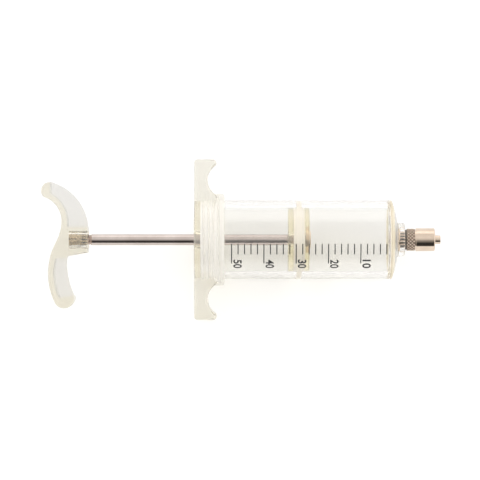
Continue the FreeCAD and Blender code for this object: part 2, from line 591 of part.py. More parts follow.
def make_handle():
    """Clear S-shaped palm grip: round-ended arms with a palm flange and a web, and a thick boss."""
    body = new_piece("handle", "Worked.grip_place")
    waist = ("-Sizes.grip_waist", "Sizes.grip_waist_height")
    turning = ("Worked.palm_turn_x", "Worked.palm_turn_y")
    upper_back_tip = (
        "-Sizes.upper_tip_back_depth",
        "Sizes.upper_back_height"
        " + sqrt(Sizes.upper_back_radius ^ 2 - (Sizes.upper_back_radius - Sizes.upper_tip_back_depth) ^ 2)")
    upper_palm_tip = (
        "-Sizes.upper_tip_palm_depth",
        "Sizes.grip_waist_height"
        " + sqrt(Sizes.upper_palm_radius ^ 2 - (Sizes.upper_tip_palm_depth + Worked.upper_palm_middle) ^ 2)")
    lower_palm_tip = (
        on_circle("Worked.lower_palm_middle", "Sizes.lower_palm_radius",
                  "-Sizes.grip_bulge_drop", "-Sizes.lower_tip_palm_drop", "-"),
        "-Sizes.lower_tip_palm_drop")
    lower_front_tip = (
        on_circle("Worked.lower_front_middle", "Sizes.lower_front_radius",
                  "-Sizes.lower_arm_drop", "-Sizes.lower_tip_front_drop", "-"),
        "-Sizes.lower_tip_front_drop")
    boss_root = (
        on_circle("Worked.lower_front_middle", "Sizes.lower_front_radius",
                  "-Sizes.lower_arm_drop", "-Sizes.grip_boss_root_drop", "-"),
        "-Sizes.grip_boss_root_drop")
    outline = draw_outline(new_sketch(body, "grip_outline"), [
        ("0", "-Sizes.grip_boss_drop"),
        ("0", "Sizes.upper_back_height"),
        upper_back_tip,
        upper_palm_tip,
        waist,
        turning,
        lower_palm_tip,
        lower_front_tip,
        boss_root,
    ], {
        1: ("Sizes.upper_back_radius", "right"),
        2: ("Sizes.upper_tip_radius", "right"),
        3: ("Sizes.upper_palm_radius", "left"),
        4: ("Worked.waist_radius", "left"),
        5: ("Sizes.lower_palm_radius", "right"),
        6: ("Sizes.lower_tip_radius", "right"),
        7: ("Sizes.lower_front_radius", "left"),
    })
    block = body.newObject("PartDesign::Pad", "grip_block")
    block.Profile = outline
    block.Midplane = True
    block.setExpression("Length", "Sizes.grip_width")
    doc.recompute()
    half = value_of("Sizes.grip_width / 2")
    root = FreeCAD.Vector(value_of(boss_root[0]), value_of(boss_root[1]), 0)

    def under_boss(edge):
        return all(abs(point.x - root.x) < NEAR and abs(point.y - root.y) < NEAR
                   for point in (vertex.Point for vertex in edge.Vertexes))

    corner = round_edges(body, "boss_corner", block, "Sizes.grip_boss_corner", under_boss)

    def side_edge(edge):
        return all(abs(abs(vertex.Point.z) - half) < NEAR for vertex in edge.Vertexes)

    round_edges(body, "grip_edges", corner, "Sizes.grip_rounding", side_edge)
    recess = new_sketch(body, "recess_outline", height="Worked.recess_floor")
    inner_upper = "Sizes.upper_palm_radius + Sizes.grip_flange"
    inner_lower = "Sizes.lower_palm_radius - Sizes.grip_flange"
    upper_end = (
        "-Sizes.upper_recess_depth",
        "Sizes.grip_waist_height"
        f" + sqrt(({inner_upper}) ^ 2 - (Sizes.upper_recess_depth + Worked.upper_palm_middle) ^ 2)")
    draw_outline(recess, [
        ("Sizes.recess_overrun", "Sizes.upper_recess_drop"),
        ("Sizes.recess_overrun", f"{upper_back_tip[1]} + Sizes.recess_overrun"),
        ("-Sizes.upper_recess_depth", f"{upper_back_tip[1]} + Sizes.recess_overrun"),
        upper_end,
        ("-(Sizes.grip_waist - Sizes.grip_flange)", "Sizes.grip_waist_height"),
        ("-(Sizes.grip_waist - Sizes.grip_flange)", "Sizes.upper_recess_drop"),
    ], {3: (inner_upper, "left")})
    draw_outline(recess, [
        ("-Sizes.recess_overrun", "-Sizes.lower_recess_drop"),
        (on_circle("Worked.lower_palm_middle", inner_lower,
                   "-Sizes.grip_bulge_drop", "-Sizes.lower_recess_drop", "-"), "-Sizes.lower_recess_drop"),
        (on_circle("Worked.lower_palm_middle", inner_lower,
                   "-Sizes.grip_bulge_drop", "-Sizes.lower_recess_end_drop", "-"),
         "-Sizes.lower_recess_end_drop"),
        ("-Sizes.recess_overrun", "-Sizes.lower_recess_mouth_drop"),
    ], {1: (inner_lower, "right")})
    cut = body.newObject("PartDesign::Pocket", "recess")
    cut.Profile = recess
    cut.Type = "Length"
    cut.setExpression("Length", "Sizes.grip_width")
    cut.Reversed = True
    doc.recompute()
    both = body.newObject("PartDesign::Mirrored", "recesses")
    both.Originals = [cut]
    both.MirrorPlane = (origin_part(body, "XY_Plane"), [""])
    body.Tip = both
    doc.recompute()
    turn_profile(body, "bush_hole", box_profile(
        "-Sizes.grip_bush_length", "Sizes.recess_overrun", "0",
        "Sizes.grip_bush_diameter / 2 + Sizes.bush_clearance"), "PartDesign::Groove")


def make_handle_insert():
    """Metal bush moulded into the grip's boss, knurled on both sides of a plain waist."""
    body = new_piece("handle_insert", "Worked.grip_place - Sizes.grip_bush_length")
    hole = "Sizes.rod_rear_thread_diameter / 2 + Sizes.grip_bush_thread_clearance"
    rim = "Sizes.grip_bush_diameter / 2"
    turn_profile(body, "grip_bush", box_profile("0", "Sizes.grip_bush_length", hole, rim))
    knurl(body, "grip_bush_knurl", rim, "0", "Sizes.grip_bush_length")
    half = "Sizes.bush_waist_width / 2"
    turn_profile(body, "bush_waist", box_profile(
        f"Sizes.grip_bush_length / 2 - {half}", f"Sizes.grip_bush_length / 2 + {half}",
        f"{rim} - Sizes.bush_waist_depth", f"{rim} + Sizes.bush_waist_depth"), "PartDesign::Groove")


make_barrel()
make_screw_cap()
make_nose_insert()
make_nozzle_washer()
make_luer_fitting()
make_plunger_rod()
make_piston_rear()
make_piston_ring()
make_piston_front()
make_piston_nut()
make_handle()
make_handle_insert()
doc.recompute()

for thing in doc.Objects:
    if "Invalid" in thing.State or "Error" in thing.State:
        raise RuntimeError(f"{thing.Label} is {thing.State}")
for body in pieces:
    if body.Shape.isNull() or not body.Shape.isValid() or len(body.Shape.Solids) != 1:
        raise RuntimeError(f"{body.Label} has no valid single solid")

os.makedirs("parts", exist_ok=True)
for body in pieces:
    body.Shape.exportStep(f"parts/{body.Label}.step")
    box = body.Shape.BoundBox
    print(f"{body.Label}: {body.Shape.Volume:.1f} mm3, X {box.XMin:.2f} to {box.XMax:.2f},"
          f" Y {box.YMin:.2f} to {box.YMax:.2f}, Z {box.ZMin:.2f} to {box.ZMax:.2f}")
print(f"rolled by {value_of('Worked.roll_angle'):.2f} degrees")
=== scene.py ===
# %% [markdown]
# A reusable luer lock syringe lies on a pale table, seen from above.
# The frame holds the pieces at their real size, and this lesson gives each of them its final mesh and finish.
# Clear plastic shows every facet of a coarse mesh, so the clear pieces are modelled again with fine, smooth
# turnings, and the threads, knurls and the printed scale are added as real geometry.

# %% Load the frame
import math

import bmesh
import bpy
from mathutils import Matrix, Vector


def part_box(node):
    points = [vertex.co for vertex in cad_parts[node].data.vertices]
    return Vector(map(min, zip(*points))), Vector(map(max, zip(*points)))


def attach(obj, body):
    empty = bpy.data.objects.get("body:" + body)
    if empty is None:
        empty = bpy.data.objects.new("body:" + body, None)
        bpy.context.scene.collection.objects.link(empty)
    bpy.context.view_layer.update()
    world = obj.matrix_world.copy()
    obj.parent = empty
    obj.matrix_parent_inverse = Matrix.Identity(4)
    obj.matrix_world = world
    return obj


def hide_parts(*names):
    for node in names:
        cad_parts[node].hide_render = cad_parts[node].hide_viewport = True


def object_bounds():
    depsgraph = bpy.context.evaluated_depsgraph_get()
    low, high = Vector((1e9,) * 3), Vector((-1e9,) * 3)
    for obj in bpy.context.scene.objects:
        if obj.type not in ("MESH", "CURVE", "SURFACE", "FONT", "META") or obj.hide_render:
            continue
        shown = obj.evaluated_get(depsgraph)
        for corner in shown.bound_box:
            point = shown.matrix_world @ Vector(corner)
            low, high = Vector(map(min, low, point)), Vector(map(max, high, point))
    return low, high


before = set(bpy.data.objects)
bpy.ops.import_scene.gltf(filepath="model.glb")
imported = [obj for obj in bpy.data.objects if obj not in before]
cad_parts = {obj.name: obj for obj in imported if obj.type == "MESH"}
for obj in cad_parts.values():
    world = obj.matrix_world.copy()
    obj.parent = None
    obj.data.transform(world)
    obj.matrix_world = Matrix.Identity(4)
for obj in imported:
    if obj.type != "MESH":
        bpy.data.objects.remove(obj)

CAD_LOW, CAD_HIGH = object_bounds()
print("the frame holds", ", ".join(sorted(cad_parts)))
print("its box runs from", list(CAD_LOW), "to", list(CAD_HIGH))

# %% [markdown]
# Everything is drawn with the syringe's axis on X and the finger wings along Y, as on a drawing board.
# On the table the syringe lies rolled about its axis, on its cap's bead and one wing tip.
# The roll follows from the sizes of those two, so it is worked out here and applied to each mesh at the end.

# %% Main sizes and places, in metres
mm = 0.001
BORE = 14.9 * mm
TUBE = 18.1 * mm
WING_REACH = 36.8 * mm
WING_HALF = 9.0 * mm
WING_EDGE = 1.3 * mm
BEAD = -CAD_LOW.z
BUSH_HEAD = 3.7 * mm
BUSH_HEAD_LENGTH = 2.2 * mm
GRIP_BUSH = 4.0 * mm
RING = 5.2 * mm
RING_LENGTH = 3.8 * mm
CONTACT = 0.07 * mm
ROLL = (math.asin((BEAD - WING_EDGE) / math.hypot(WING_REACH - WING_EDGE, WING_HALF - WING_EDGE))
        - math.atan2(WING_HALF - WING_EDGE, WING_REACH - WING_EDGE))
FULL_TURN = 2 * math.pi
AXIS = Vector((1, 0, 0))
CENTRE = Vector((0, 0, 0))
FINE = 144


def span(node):
    """Where a node starts and ends along the syringe's axis."""
    low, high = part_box(node)
    return low.x, high.x


REAR, NOSE_FACE = span("barrel")
CAP_BACK, CAP_MOUTH = span("screw_cap")
FITTING_SEAT = span("nozzle_washer")[1]
print(f"rolled by {math.degrees(ROLL):.2f} degrees, tube from {REAR / mm:.2f} to {NOSE_FACE / mm:.2f} mm")

# %% [markdown]
# Shader maths reads best as sums. The small class Number wraps a socket, and its operators add Math nodes.
# Finish builds a material: its one method adds any node, with its settings first and then its inputs.

# %% Number and Finish


class Number:
    """A value that runs through a shader, for use in sums."""

    def __init__(self, finish, socket):
        self.finish = finish
        self.socket = socket

    def sum_with(self, operation, first, second):
        node = self.finish.add("ShaderNodeMath", {"operation": operation}, {0: first, 1: second})
        return Number(self.finish, node.outputs[0])

    def __add__(self, other):
        return self.sum_with("ADD", self, other)

    def __mul__(self, other):
        return self.sum_with("MULTIPLY", self, other)

    def __lt__(self, other):
        return self.sum_with("LESS_THAN", self, other)

    def __gt__(self, other):
        return self.sum_with("GREATER_THAN", self, other)

    __radd__ = __add__


class Finish:
    """A material, or the world, built from nodes."""

    def __init__(self, owner):
        self.owner = owner
        owner.use_nodes = True
        self.tree = owner.node_tree
        self.tree.nodes.clear()

    def add(self, kind, settings=None, inputs=None):
        node = self.tree.nodes.new(kind)
        for name, value in (settings or {}).items():
            if name == "stops":
                self.set_stops(node.color_ramp, value)
            else:
                setattr(node, name, value)
        for name, value in (inputs or {}).items():
            if isinstance(value, Number):
                value = value.socket
            if isinstance(value, bpy.types.NodeSocket):
                self.tree.links.new(value, node.inputs[name])
            else:
                node.inputs[name].default_value = value
        return node

    def set_stops(self, ramp, stops):
        while len(ramp.elements) < len(stops):
            ramp.elements.new(1.0)
        for stop, (place, colour) in zip(ramp.elements, stops):
            stop.position = place
            stop.color = (*colour, 1)

    def place(self):
        """Where a point of the surface is in the frame."""
        return self.add("ShaderNodeTexCoord").outputs["Object"]

    def along_axis(self):
        """How far along the syringe's axis a point is."""
        return Number(self, self.add("ShaderNodeSeparateXYZ", {}, {0: self.place()}).outputs["X"])

    def from_axis(self):
        """How far from that axis a point is."""
        across = self.add("ShaderNodeVectorMath", {"operation": "MULTIPLY"}, {0: self.place(), 1: (0, 1, 1)})
        return Number(self, self.add("ShaderNodeVectorMath", {"operation": "LENGTH"}, {
            0: across.outputs["Vector"]}).outputs["Value"])

    def grain(self, scale, detail=3, stretch=(1, 1, 1)):
        """Cloudy noise from 0 to 1, finer as scale grows, drawn out along an axis where stretch is small."""
        fitted = self.add("ShaderNodeMapping", {}, {"Vector": self.place(), "Scale": stretch})
        noise = self.add("ShaderNodeTexNoise", {}, {
            "Vector": fitted.outputs["Vector"], "Scale": scale, "Detail": detail})
        return Number(self, noise.outputs["Fac"])

    def mixed(self, share, first, second):
        """One colour fading into another."""
        ramp = self.add("ShaderNodeValToRGB", {"stops": [(0.25, first), (0.75, second)]}, {"Fac": share})
        return ramp.outputs["Color"]

    def blend(self, share, first, second):
        """One colour or colour socket laid over another by a share from 0 to 1.

        A Mix node has its colours at inputs 6 and 7 and at output 2.
        """
        mix = self.add("ShaderNodeMix", {"data_type": "RGBA"}, {0: share, 6: first, 7: second})
        return mix.outputs[2]

    def dented(self, height, depth):
        """A normal that follows a height, in metres of depth."""
        bump = self.add("ShaderNodeBump", {}, {"Height": height, "Distance": depth, "Strength": 1.0})
        return bump.outputs["Normal"]

    def output(self, surface, volume=None):
        links = {"Surface": surface}
        if volume:
            links["Volume"] = volume
        self.add("ShaderNodeOutputMaterial", {}, links)
        return self.owner


print("shader helpers are ready")

# %% [markdown]
# The barrel is nearly colourless, and the cap, the grip and the piston's discs have a faint straw tint that
# deepens where the light's way through them is long. A tint in the base colour would be the same for thin and
# thick walls, so it comes from absorption inside the plastic. Use leaves a little haze on the surface.
#
# Where the barrel's thread meets the cap's, and along the rim of the barrel's front, the plastic looks milky,
# and the dome has a touch of it. A second finish is mixed in there, by the place along the axis and the
# distance from it. Behind clear walls the piston would get too little light, so the walls let shadow rays and
# diffuse rays straight through.

# %% Clear plastics
THREAD_START = REAR - 0.02 * mm
MILKY_IN = 17.0 * mm
MILKY_OUT = 18.5 * mm
RIM_START = NOSE_FACE - 7.0 * mm
RIM_END = NOSE_FACE - 5.0 * mm
RIM_IN = 14.6 * mm
DOME_IN = 8.0 * mm
DOME_HAZE = 0.4
RIM_COLOUR = (0.87, 0.77, 0.57, 1)
PLASTIC_IOR = 1.53
SKIN_DEPTH = 0.006 * mm
LET_THROUGH = (0.985, 0.98, 0.965, 1)


def clear_plastic(name, cloud, clearness, absorbed, density, haze):
    """A clear plastic with its tint, how clear it is, what it absorbs and how rough use has made it."""
    finish = Finish(bpy.data.materials.new(name))
    wear = finish.grain(900, 4)
    paler = [1 - (1 - part) * 0.7 for part in cloud]
    moulded = finish.add("ShaderNodeBsdfPrincipled", {}, {
        "Base Color": finish.mixed(wear, cloud, paler),
        "Roughness": 0.01 + wear * haze,
        "Transmission Weight": clearness,
        "IOR": PLASTIC_IOR,
    })
    along, out = finish.along_axis(), finish.from_axis()
    in_thread = (along > THREAD_START) * (along < CAP_MOUTH) * (out > MILKY_IN) * (out < MILKY_OUT)
    in_rim = (along > RIM_START) * (along < RIM_END) * (out > RIM_IN)
    in_dome = (along > RIM_END) * (out > DOME_IN) * DOME_HAZE
    grit = finish.grain(5200, 3)
    pale = finish.mixed(wear, (0.985, 0.955, 0.90), (0.995, 0.98, 0.95))
    milky = finish.add("ShaderNodeBsdfPrincipled", {}, {
        "Base Color": finish.blend(in_rim, pale, RIM_COLOUR),
        "Roughness": 0.22 + grit * 0.15,
        "Normal": finish.dented(grit, SKIN_DEPTH),
        "Transmission Weight": 0.35,
        "IOR": PLASTIC_IOR,
    })
    solid = finish.add("ShaderNodeMixShader", {}, {
        0: in_thread + in_rim + in_dome, 1: moulded.outputs["BSDF"], 2: milky.outputs["BSDF"]})
    rays = finish.add("ShaderNodeLightPath")
    passing = Number(finish, rays.outputs["Is Shadow Ray"]) + Number(finish, rays.outputs["Is Diffuse Ray"])
    through = finish.add("ShaderNodeBsdfTransparent", {}, {"Color": LET_THROUGH})
    surface = finish.add("ShaderNodeMixShader", {}, {
        0: passing, 1: solid.outputs["Shader"], 2: through.outputs["BSDF"]})
    inside = finish.add("ShaderNodeVolumeAbsorption", {}, {"Color": (*absorbed, 1), "Density": density})
    return finish.output(surface.outputs["Shader"], inside.outputs["Volume"])


BARREL_PLASTIC = clear_plastic(
    "clear_barrel_plastic", (0.94, 0.935, 0.92), 0.97, (0.85, 0.75, 0.45), 3.0, 0.03)
CAP_PLASTIC = clear_plastic(
    "straw_cap_plastic", (0.84, 0.835, 0.835), 0.85, (0.98, 0.80, 0.15), 9.0, 0.10)
GRIP_PLASTIC = clear_plastic(
    "straw_grip_plastic", (0.77, 0.765, 0.765), 0.92, (0.99, 0.80, 0.12), 15.0, 0.05)
DISC_PLASTIC = clear_plastic(
    "straw_disc_plastic", (0.97, 0.95, 0.90), 0.90, (0.98, 0.86, 0.20), 16.0, 0.12)
print("clear plastics:", BARREL_PLASTIC.name, CAP_PLASTIC.name, GRIP_PLASTIC.name, DISC_PLASTIC.name)

# %% [markdown]
# The piston's ring is milky silicone: most of the light scatters back from it, and the rest goes through and
# comes out blurred, which a rough transmission gives. The washer is dark rubber with a matte skin.

# %% Silicone and rubber


def milky_silicone():
    finish = Finish(bpy.data.materials.new("milky_silicone"))
    cloud = finish.grain(420, 4)
    skin = finish.grain(5200, 2)
    surface = finish.add("ShaderNodeBsdfPrincipled", {}, {
        "Base Color": finish.mixed(cloud, (0.985, 0.92, 0.80), (0.995, 0.945, 0.85)),
        "Roughness": 0.34 + cloud * 0.16,
        "Normal": finish.dented(skin, SKIN_DEPTH),
        "Transmission Weight": 0.2,
        "IOR": 1.41,
    })
    return finish.output(surface.outputs["BSDF"])


def washer_rubber():
    finish = Finish(bpy.data.materials.new("matte_washer_rubber"))
    skin = finish.grain(6500, 5)
    dust = finish.grain(700, 3)
    surface = finish.add("ShaderNodeBsdfPrincipled", {}, {
        "Base Color": finish.mixed(dust, (0.055, 0.05, 0.045), (0.11, 0.10, 0.09)),
        "Roughness": 0.5 + skin * 0.3,
        "Normal": finish.dented(skin, 2 * SKIN_DEPTH),
    })
    return finish.output(surface.outputs["BSDF"])


SILICONE = milky_silicone()
RUBBER = washer_rubber()
print("soft finishes:", SILICONE.name, RUBBER.name)

# %% [markdown]
# The rod is drawn and polished steel, with hairlines along its length. The fitting, the bushes and the nut
# are turned brass with a warm nickel plate, so their fine lines run round the axis. Shade is painted into the
# valleys of a knurl: the colour darkens with the depth under the knurl's crests.

# %% Metals
# How deep the painted shade in a knurl's valleys reaches, and the dark colour of that painted shade.
KNURL_SHADE_DEPTH = 0.28 * mm
VALLEY_SHADE = (0.10, 0.065, 0.045, 1)
ALONG = (0.02, 1, 1)
AROUND = (1, 0.03, 0.03)
LINE_DEPTH = 0.0012 * mm
GRIP_KNURL = 3.0 * mm


def metal(name, dark, light, roughness, stretch, crest=None):
    """A metal with fine lines drawn along or round the axis, and painted shade under a knurl's crests."""
    finish = Finish(bpy.data.materials.new(name))
    lines = finish.grain(2600, 4, stretch)
    cloud = finish.grain(180, 3)
    colour = finish.mixed(cloud, dark, light)
    if crest:
        start, end, radius = crest
        along, out = finish.along_axis(), finish.from_axis()
        # Painted shade: the knurl's valleys turn darker with their depth below the crests.
        in_rows = (along > start) * (along < end) * (out > radius - 3 * KNURL_SHADE_DEPTH)
        sunk = finish.add("ShaderNodeMapRange", {}, {
            "Value": out, "From Min": radius - 0.5 * KNURL_SHADE_DEPTH, "From Max": radius - KNURL_SHADE_DEPTH})
        colour = finish.blend(in_rows * Number(finish, sunk.outputs["Result"]), colour, VALLEY_SHADE)
    surface = finish.add("ShaderNodeBsdfPrincipled", {}, {
        "Base Color": colour,
        "Metallic": 1.0,
        "Roughness": roughness + lines * 0.07 + cloud * 0.04,
        "Normal": finish.dented(lines, LINE_DEPTH),
    })
    return finish.output(surface.outputs["BSDF"])


def bush_crest(node, radius, length):
    """Where a bush's knurl is: its start, its end and its outer radius."""
    end = span(node)[1]
    return end - length, end, radius


STEEL = metal("polished_steel", (0.59, 0.51, 0.465), (0.69, 0.61, 0.565), 0.07, ALONG)
NICKEL = metal("nickel_plated_brass", (0.72, 0.58, 0.46), (0.84, 0.70, 0.57), 0.05, AROUND,
               (FITTING_SEAT, FITTING_SEAT + RING_LENGTH, RING))
NOSE_BRASS = metal("nose_bush_brass", (0.70, 0.57, 0.45), (0.82, 0.69, 0.56), 0.14, AROUND,
                   bush_crest("nose_insert", BUSH_HEAD + CONTACT, BUSH_HEAD_LENGTH))
GRIP_BRASS = metal("grip_bush_brass", (0.80, 0.64, 0.42), (0.92, 0.77, 0.54), 0.22, AROUND,
                   bush_crest("handle_insert", GRIP_BUSH + CONTACT, GRIP_KNURL))
print("metals:", STEEL.name, NICKEL.name, NOSE_BRASS.name, GRIP_BRASS.name)

# %% [markdown]
# The scale is black ink printed on the tube, thin enough at its rubbed spots to look dark grey.

# %% Ink


def printed_ink():
    finish = Finish(bpy.data.materials.new("printed_ink"))
    rubbed = finish.grain(2400, 4)
    surface = finish.add("ShaderNodeBsdfPrincipled", {}, {
        "Base Color": finish.mixed(rubbed, (0.006, 0.006, 0.006), (0.03, 0.03, 0.03)),
        "Roughness": 0.35 + rubbed * 0.2,
    })
    return finish.output(surface.outputs["BSDF"])


INK = printed_ink()
print("ink:", INK.name)

# %% [markdown]
# Most of a syringe is turned, so most pieces start as an outline beside the axis. outline draws one as a flat
# face, lathe swings its edges round the axis, and finished rolls a mesh into place and hands it to its body.

# %% Modelling helpers
TINY = 1e-6
ARC_STEP = math.radians(4)


def outline(corners, arcs=None, rounds=(), segments=6):
    """A flat face through corners in the XY plane.

    arcs maps the number of a side to its radius and the side it bulges to, left or right of the way round.
    rounds lists a radius with the numbers of the corners that it rounds.
    """
    bm = bmesh.new()
    at_corner = []
    for number, start in enumerate(corners):
        start = Vector((*start, 0))
        finish = Vector((*corners[(number + 1) % len(corners)], 0))
        first = bm.verts.new(start)
        at_corner.append(start)
        if arcs and number in arcs:
            radius, bulge = arcs[number]
            turn = 1 if bulge == "right" else -1
            chord = finish - start
            left = Vector((-chord.y, chord.x, 0)).normalized()
            middle = (start + finish) / 2 + left * turn * math.sqrt(radius ** 2 - (chord.length / 2) ** 2)
            angle = 2 * math.asin(chord.length / 2 / radius)
            bmesh.ops.spin(bm, geom=[first], cent=middle, axis=(0, 0, 1), angle=angle * turn,
                           steps=max(2, round(angle / ARC_STEP)))
        else:
            bm.edges.new((first, bm.verts.new(finish)))
    bmesh.ops.remove_doubles(bm, verts=bm.verts, dist=TINY)
    bmesh.ops.contextual_create(bm, geom=bm.edges[:])
    for radius, chosen in rounds:
        near = [v for v in bm.verts if any((v.co - at_corner[n]).length < TINY for n in chosen)]
        bmesh.ops.bevel(bm, geom=near, offset=radius, offset_type="OFFSET", segments=segments, profile=0.5,
                        affect="VERTICES", material=-1)
    return bm


def lathe(corners, rounds=(), steps=FINE, segments=6, open_side=False, arcs=None):
    """A closed skin turned about the axis from an outline of places and radii.

    A side that lies on the axis is left out, and so is the last side if open_side is true.
    """
    bm = outline(corners, arcs, rounds, segments)
    bmesh.ops.delete(bm, geom=bm.faces[:], context="FACES_ONLY")
    spare = [e for e in bm.edges if all(abs(v.co.y) < TINY for v in e.verts)]
    if open_side:
        ends = [Vector((*corners[n], 0)) for n in (0, -1)]
        spare += [e for e in bm.edges
                  if all(any((v.co - end).length < TINY for end in ends) for v in e.verts)]
    bmesh.ops.delete(bm, geom=spare, context="EDGES")
    bmesh.ops.spin(bm, geom=bm.verts[:] + bm.edges[:], axis=AXIS, cent=CENTRE, angle=FULL_TURN,
                   steps=steps, use_merge=True)
    bmesh.ops.remove_doubles(bm, verts=bm.verts, dist=TINY)
    bmesh.ops.recalc_face_normals(bm, faces=bm.faces)
    return bm


def thicken(bm, low, high):
    """A flat face made into a plate between two heights."""
    bmesh.ops.translate(bm, vec=(0, 0, low), verts=bm.verts)
    made = bmesh.ops.extrude_face_region(bm, geom=bm.faces[:])
    moved = [v for v in made["geom"] if isinstance(v, bmesh.types.BMVert)]
    bmesh.ops.translate(bm, vec=(0, 0, high - low), verts=moved)
    bmesh.ops.recalc_face_normals(bm, faces=bm.faces)
    return bm


def soften_rims(bm, radius):
    """Rounds the edges round a plate's two flat sides."""
    rims = [e for e in bm.edges if abs(e.verts[0].co.z - e.verts[1].co.z) < TINY]
    bmesh.ops.bevel(bm, geom=rims, offset=radius, offset_type="OFFSET", segments=5, profile=0.5,
                    affect="EDGES", material=-1)
    return bm


def joined(first, second):
    """Two meshes as one."""
    mesh = bpy.data.meshes.new("joining")
    second.to_mesh(mesh)
    second.free()
    first.from_mesh(mesh)
    bpy.data.meshes.remove(mesh)
    return first


def as_object(bm, name):
    mesh = bpy.data.meshes.new(name)
    bm.to_mesh(mesh)
    bm.free()
    thing = bpy.data.objects.new(name, mesh)
    bpy.context.scene.collection.objects.link(thing)
    return thing


def combined(bm, tool, operation):
    """A mesh with another one joined to it or cut out of it, worked out in millimetres for the solver."""
    for mesh in (bm, tool):
        bmesh.ops.scale(mesh, vec=(1 / mm,) * 3, verts=mesh.verts)
    body, other = as_object(bm, "body_of_it"), as_object(tool, "tool_for_it")
    step = body.modifiers.new("step", "BOOLEAN")
    step.operation, step.object, step.solver = operation, other, "EXACT"
    mesh = bpy.data.meshes.new_from_object(body.evaluated_get(bpy.context.evaluated_depsgraph_get()))
    made = bmesh.new()
    made.from_mesh(mesh)
    for thing in (body, other):
        spare = thing.data
        bpy.data.objects.remove(thing)
        bpy.data.meshes.remove(spare)
    bpy.data.meshes.remove(mesh)
    bmesh.ops.scale(made, vec=(mm,) * 3, verts=made.verts)
    bmesh.ops.remove_doubles(made, verts=made.verts, dist=TINY)
    return made


def finished(bm, name, body, material, nodes=(), sharp=32, edge=0.0):
    """The mesh rolled into place, shaded, and riding on its body in place of its nodes."""
    bmesh.ops.remove_doubles(bm, verts=bm.verts, dist=TINY)
    bmesh.ops.recalc_face_normals(bm, faces=bm.faces)
    bmesh.ops.rotate(bm, cent=CENTRE, matrix=Matrix.Rotation(ROLL, 3, "X"), verts=bm.verts)
    open_edges = sum(not e.is_manifold for e in bm.edges)
    thing = as_object(bm, name)
    thing.data.materials.append(material)
    thing.data.polygons.foreach_set("use_smooth", [True] * len(thing.data.polygons))
    thing.data.set_sharp_from_angle(angle=math.radians(sharp))
    if edge:
        bevel = thing.modifiers.new("edges", "BEVEL")
        bevel.width, bevel.segments, bevel.limit_method = edge, 3, "ANGLE"
        bevel.angle_limit = math.radians(sharp)
        bevel.harden_normals = False
    shading = thing.modifiers.new("shading", "WEIGHTED_NORMAL")
    shading.keep_sharp = True
    if nodes:
        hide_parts(*nodes)
    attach(thing, body)
    print(f"{name}: {len(thing.data.polygons)} faces, {open_edges} open edges")
    return thing


print("modelling helpers are ready")

# %% [markdown]
# The cap screws onto the barrel with a coarse thread, moulded in both. A thread is one pitch of its outline,
# wound round the axis while it moves along by a pitch each turn, so that each turn meets the next. Where it
# ends, it runs out smoothly into the plain surface.

# %% Threads
PITCH = 2.25 * mm
GROOVE_DEPTH = 0.8 * mm
GROOVE_MOUTH = 1.5 * mm
GROOVE_ROOT = 0.7 * mm
THREAD_LENGTH = 9.0 * mm
RUN_OUT = 1.2 * mm
FIT = 0.15 * mm


def wound(shape, pitch, turns, steps):
    """A thread's skin: the open outline of one pitch, wound round the axis."""
    bm = bmesh.new()
    points = [bm.verts.new((*point, 0)) for point in shape]
    for first, second in zip(points, points[1:]):
        bm.edges.new((first, second))
    bmesh.ops.spin(bm, geom=bm.verts[:] + bm.edges[:], axis=AXIS, cent=CENTRE,
                   dvec=(pitch / steps, 0, 0), angle=FULL_TURN * turns, steps=steps * turns)
    bmesh.ops.remove_doubles(bm, verts=bm.verts, dist=TINY)
    return bm


def cut_square(bm, place, keep):
    """Only what lies on one side of a place along the axis."""
    bmesh.ops.bisect_plane(bm, geom=bm.verts[:] + bm.edges[:] + bm.faces[:], dist=TINY / 10,
                           plane_co=(place, 0, 0), plane_no=(-keep, 0, 0), clear_outer=True)


def fade_thread(bm, start, length, plain):
    """Lets the thread run out into a plain radius."""
    for vert in bm.verts:
        share = min(1.0, max(0.0, (vert.co.x - start) / length))
        radius = math.hypot(vert.co.y, vert.co.z)
        wanted = radius + (plain - radius) * share
        vert.co.y *= wanted / radius
        vert.co.z *= wanted / radius


def rim_at(bm, place):
    """The open edges that lie in one plane across the axis."""
    return [e for e in bm.edges if e.is_boundary and all(abs(v.co.x - place) < TINY for v in e.verts)]


def coarse_thread(surface, root, gap, end):
    """The skin of the coarse thread from the barrel's rear end to a place, for one side of the fit."""
    half_mouth = GROOVE_MOUTH / 2 - gap
    half_root = GROOVE_ROOT / 2 - gap
    first = REAR - 2.5 * PITCH
    skin = wound([
        (first - PITCH / 2, surface),
        (first - half_mouth, surface),
        (first - half_root, root),
        (first + half_root, root),
        (first + half_mouth, surface),
        (first + PITCH / 2, surface),
    ], PITCH, 10, FINE)
    fade_thread(skin, REAR + THREAD_LENGTH - RUN_OUT, RUN_OUT, surface)
    cut_square(skin, REAR, 1)
    cut_square(skin, end, -1)
    return skin


print(f"thread of {PITCH / mm} mm pitch, {THREAD_LENGTH / PITCH:.0f} turns")

# %% [markdown]
# The barrel is one clear moulding: a tube with a domed front, a hollow nose that holds the metal bush, and
# the thread at its open end. Its outline is swung round the axis without its rear outer side, and the
# thread's skin is bridged to the two rims that are left open. A ring of points near each end of the long
# walls keeps their shading straight.

# %% Barrel
CHAMBER = 87.6 * mm
DOME_RIM = 0.25 * mm
DOME_RISE = 2.75 * mm
DOME_RADIUS = 48.5 * mm
NOSE = 7.8 * mm
BUSH_SHANK = 3.4 * mm
THREAD_END = REAR + THREAD_LENGTH + 0.2 * mm
TUBE_START = THREAD_END + 0.3 * mm
SUPPORT = 1.5 * mm
DOME_EDGE = 0.5 * mm
DOME_FOOT = 0.4 * mm
NOSE_EDGE = 0.8 * mm
BUSH_EDGE = 0.15 * mm
CHAMBER_CORNER = 2.0 * mm


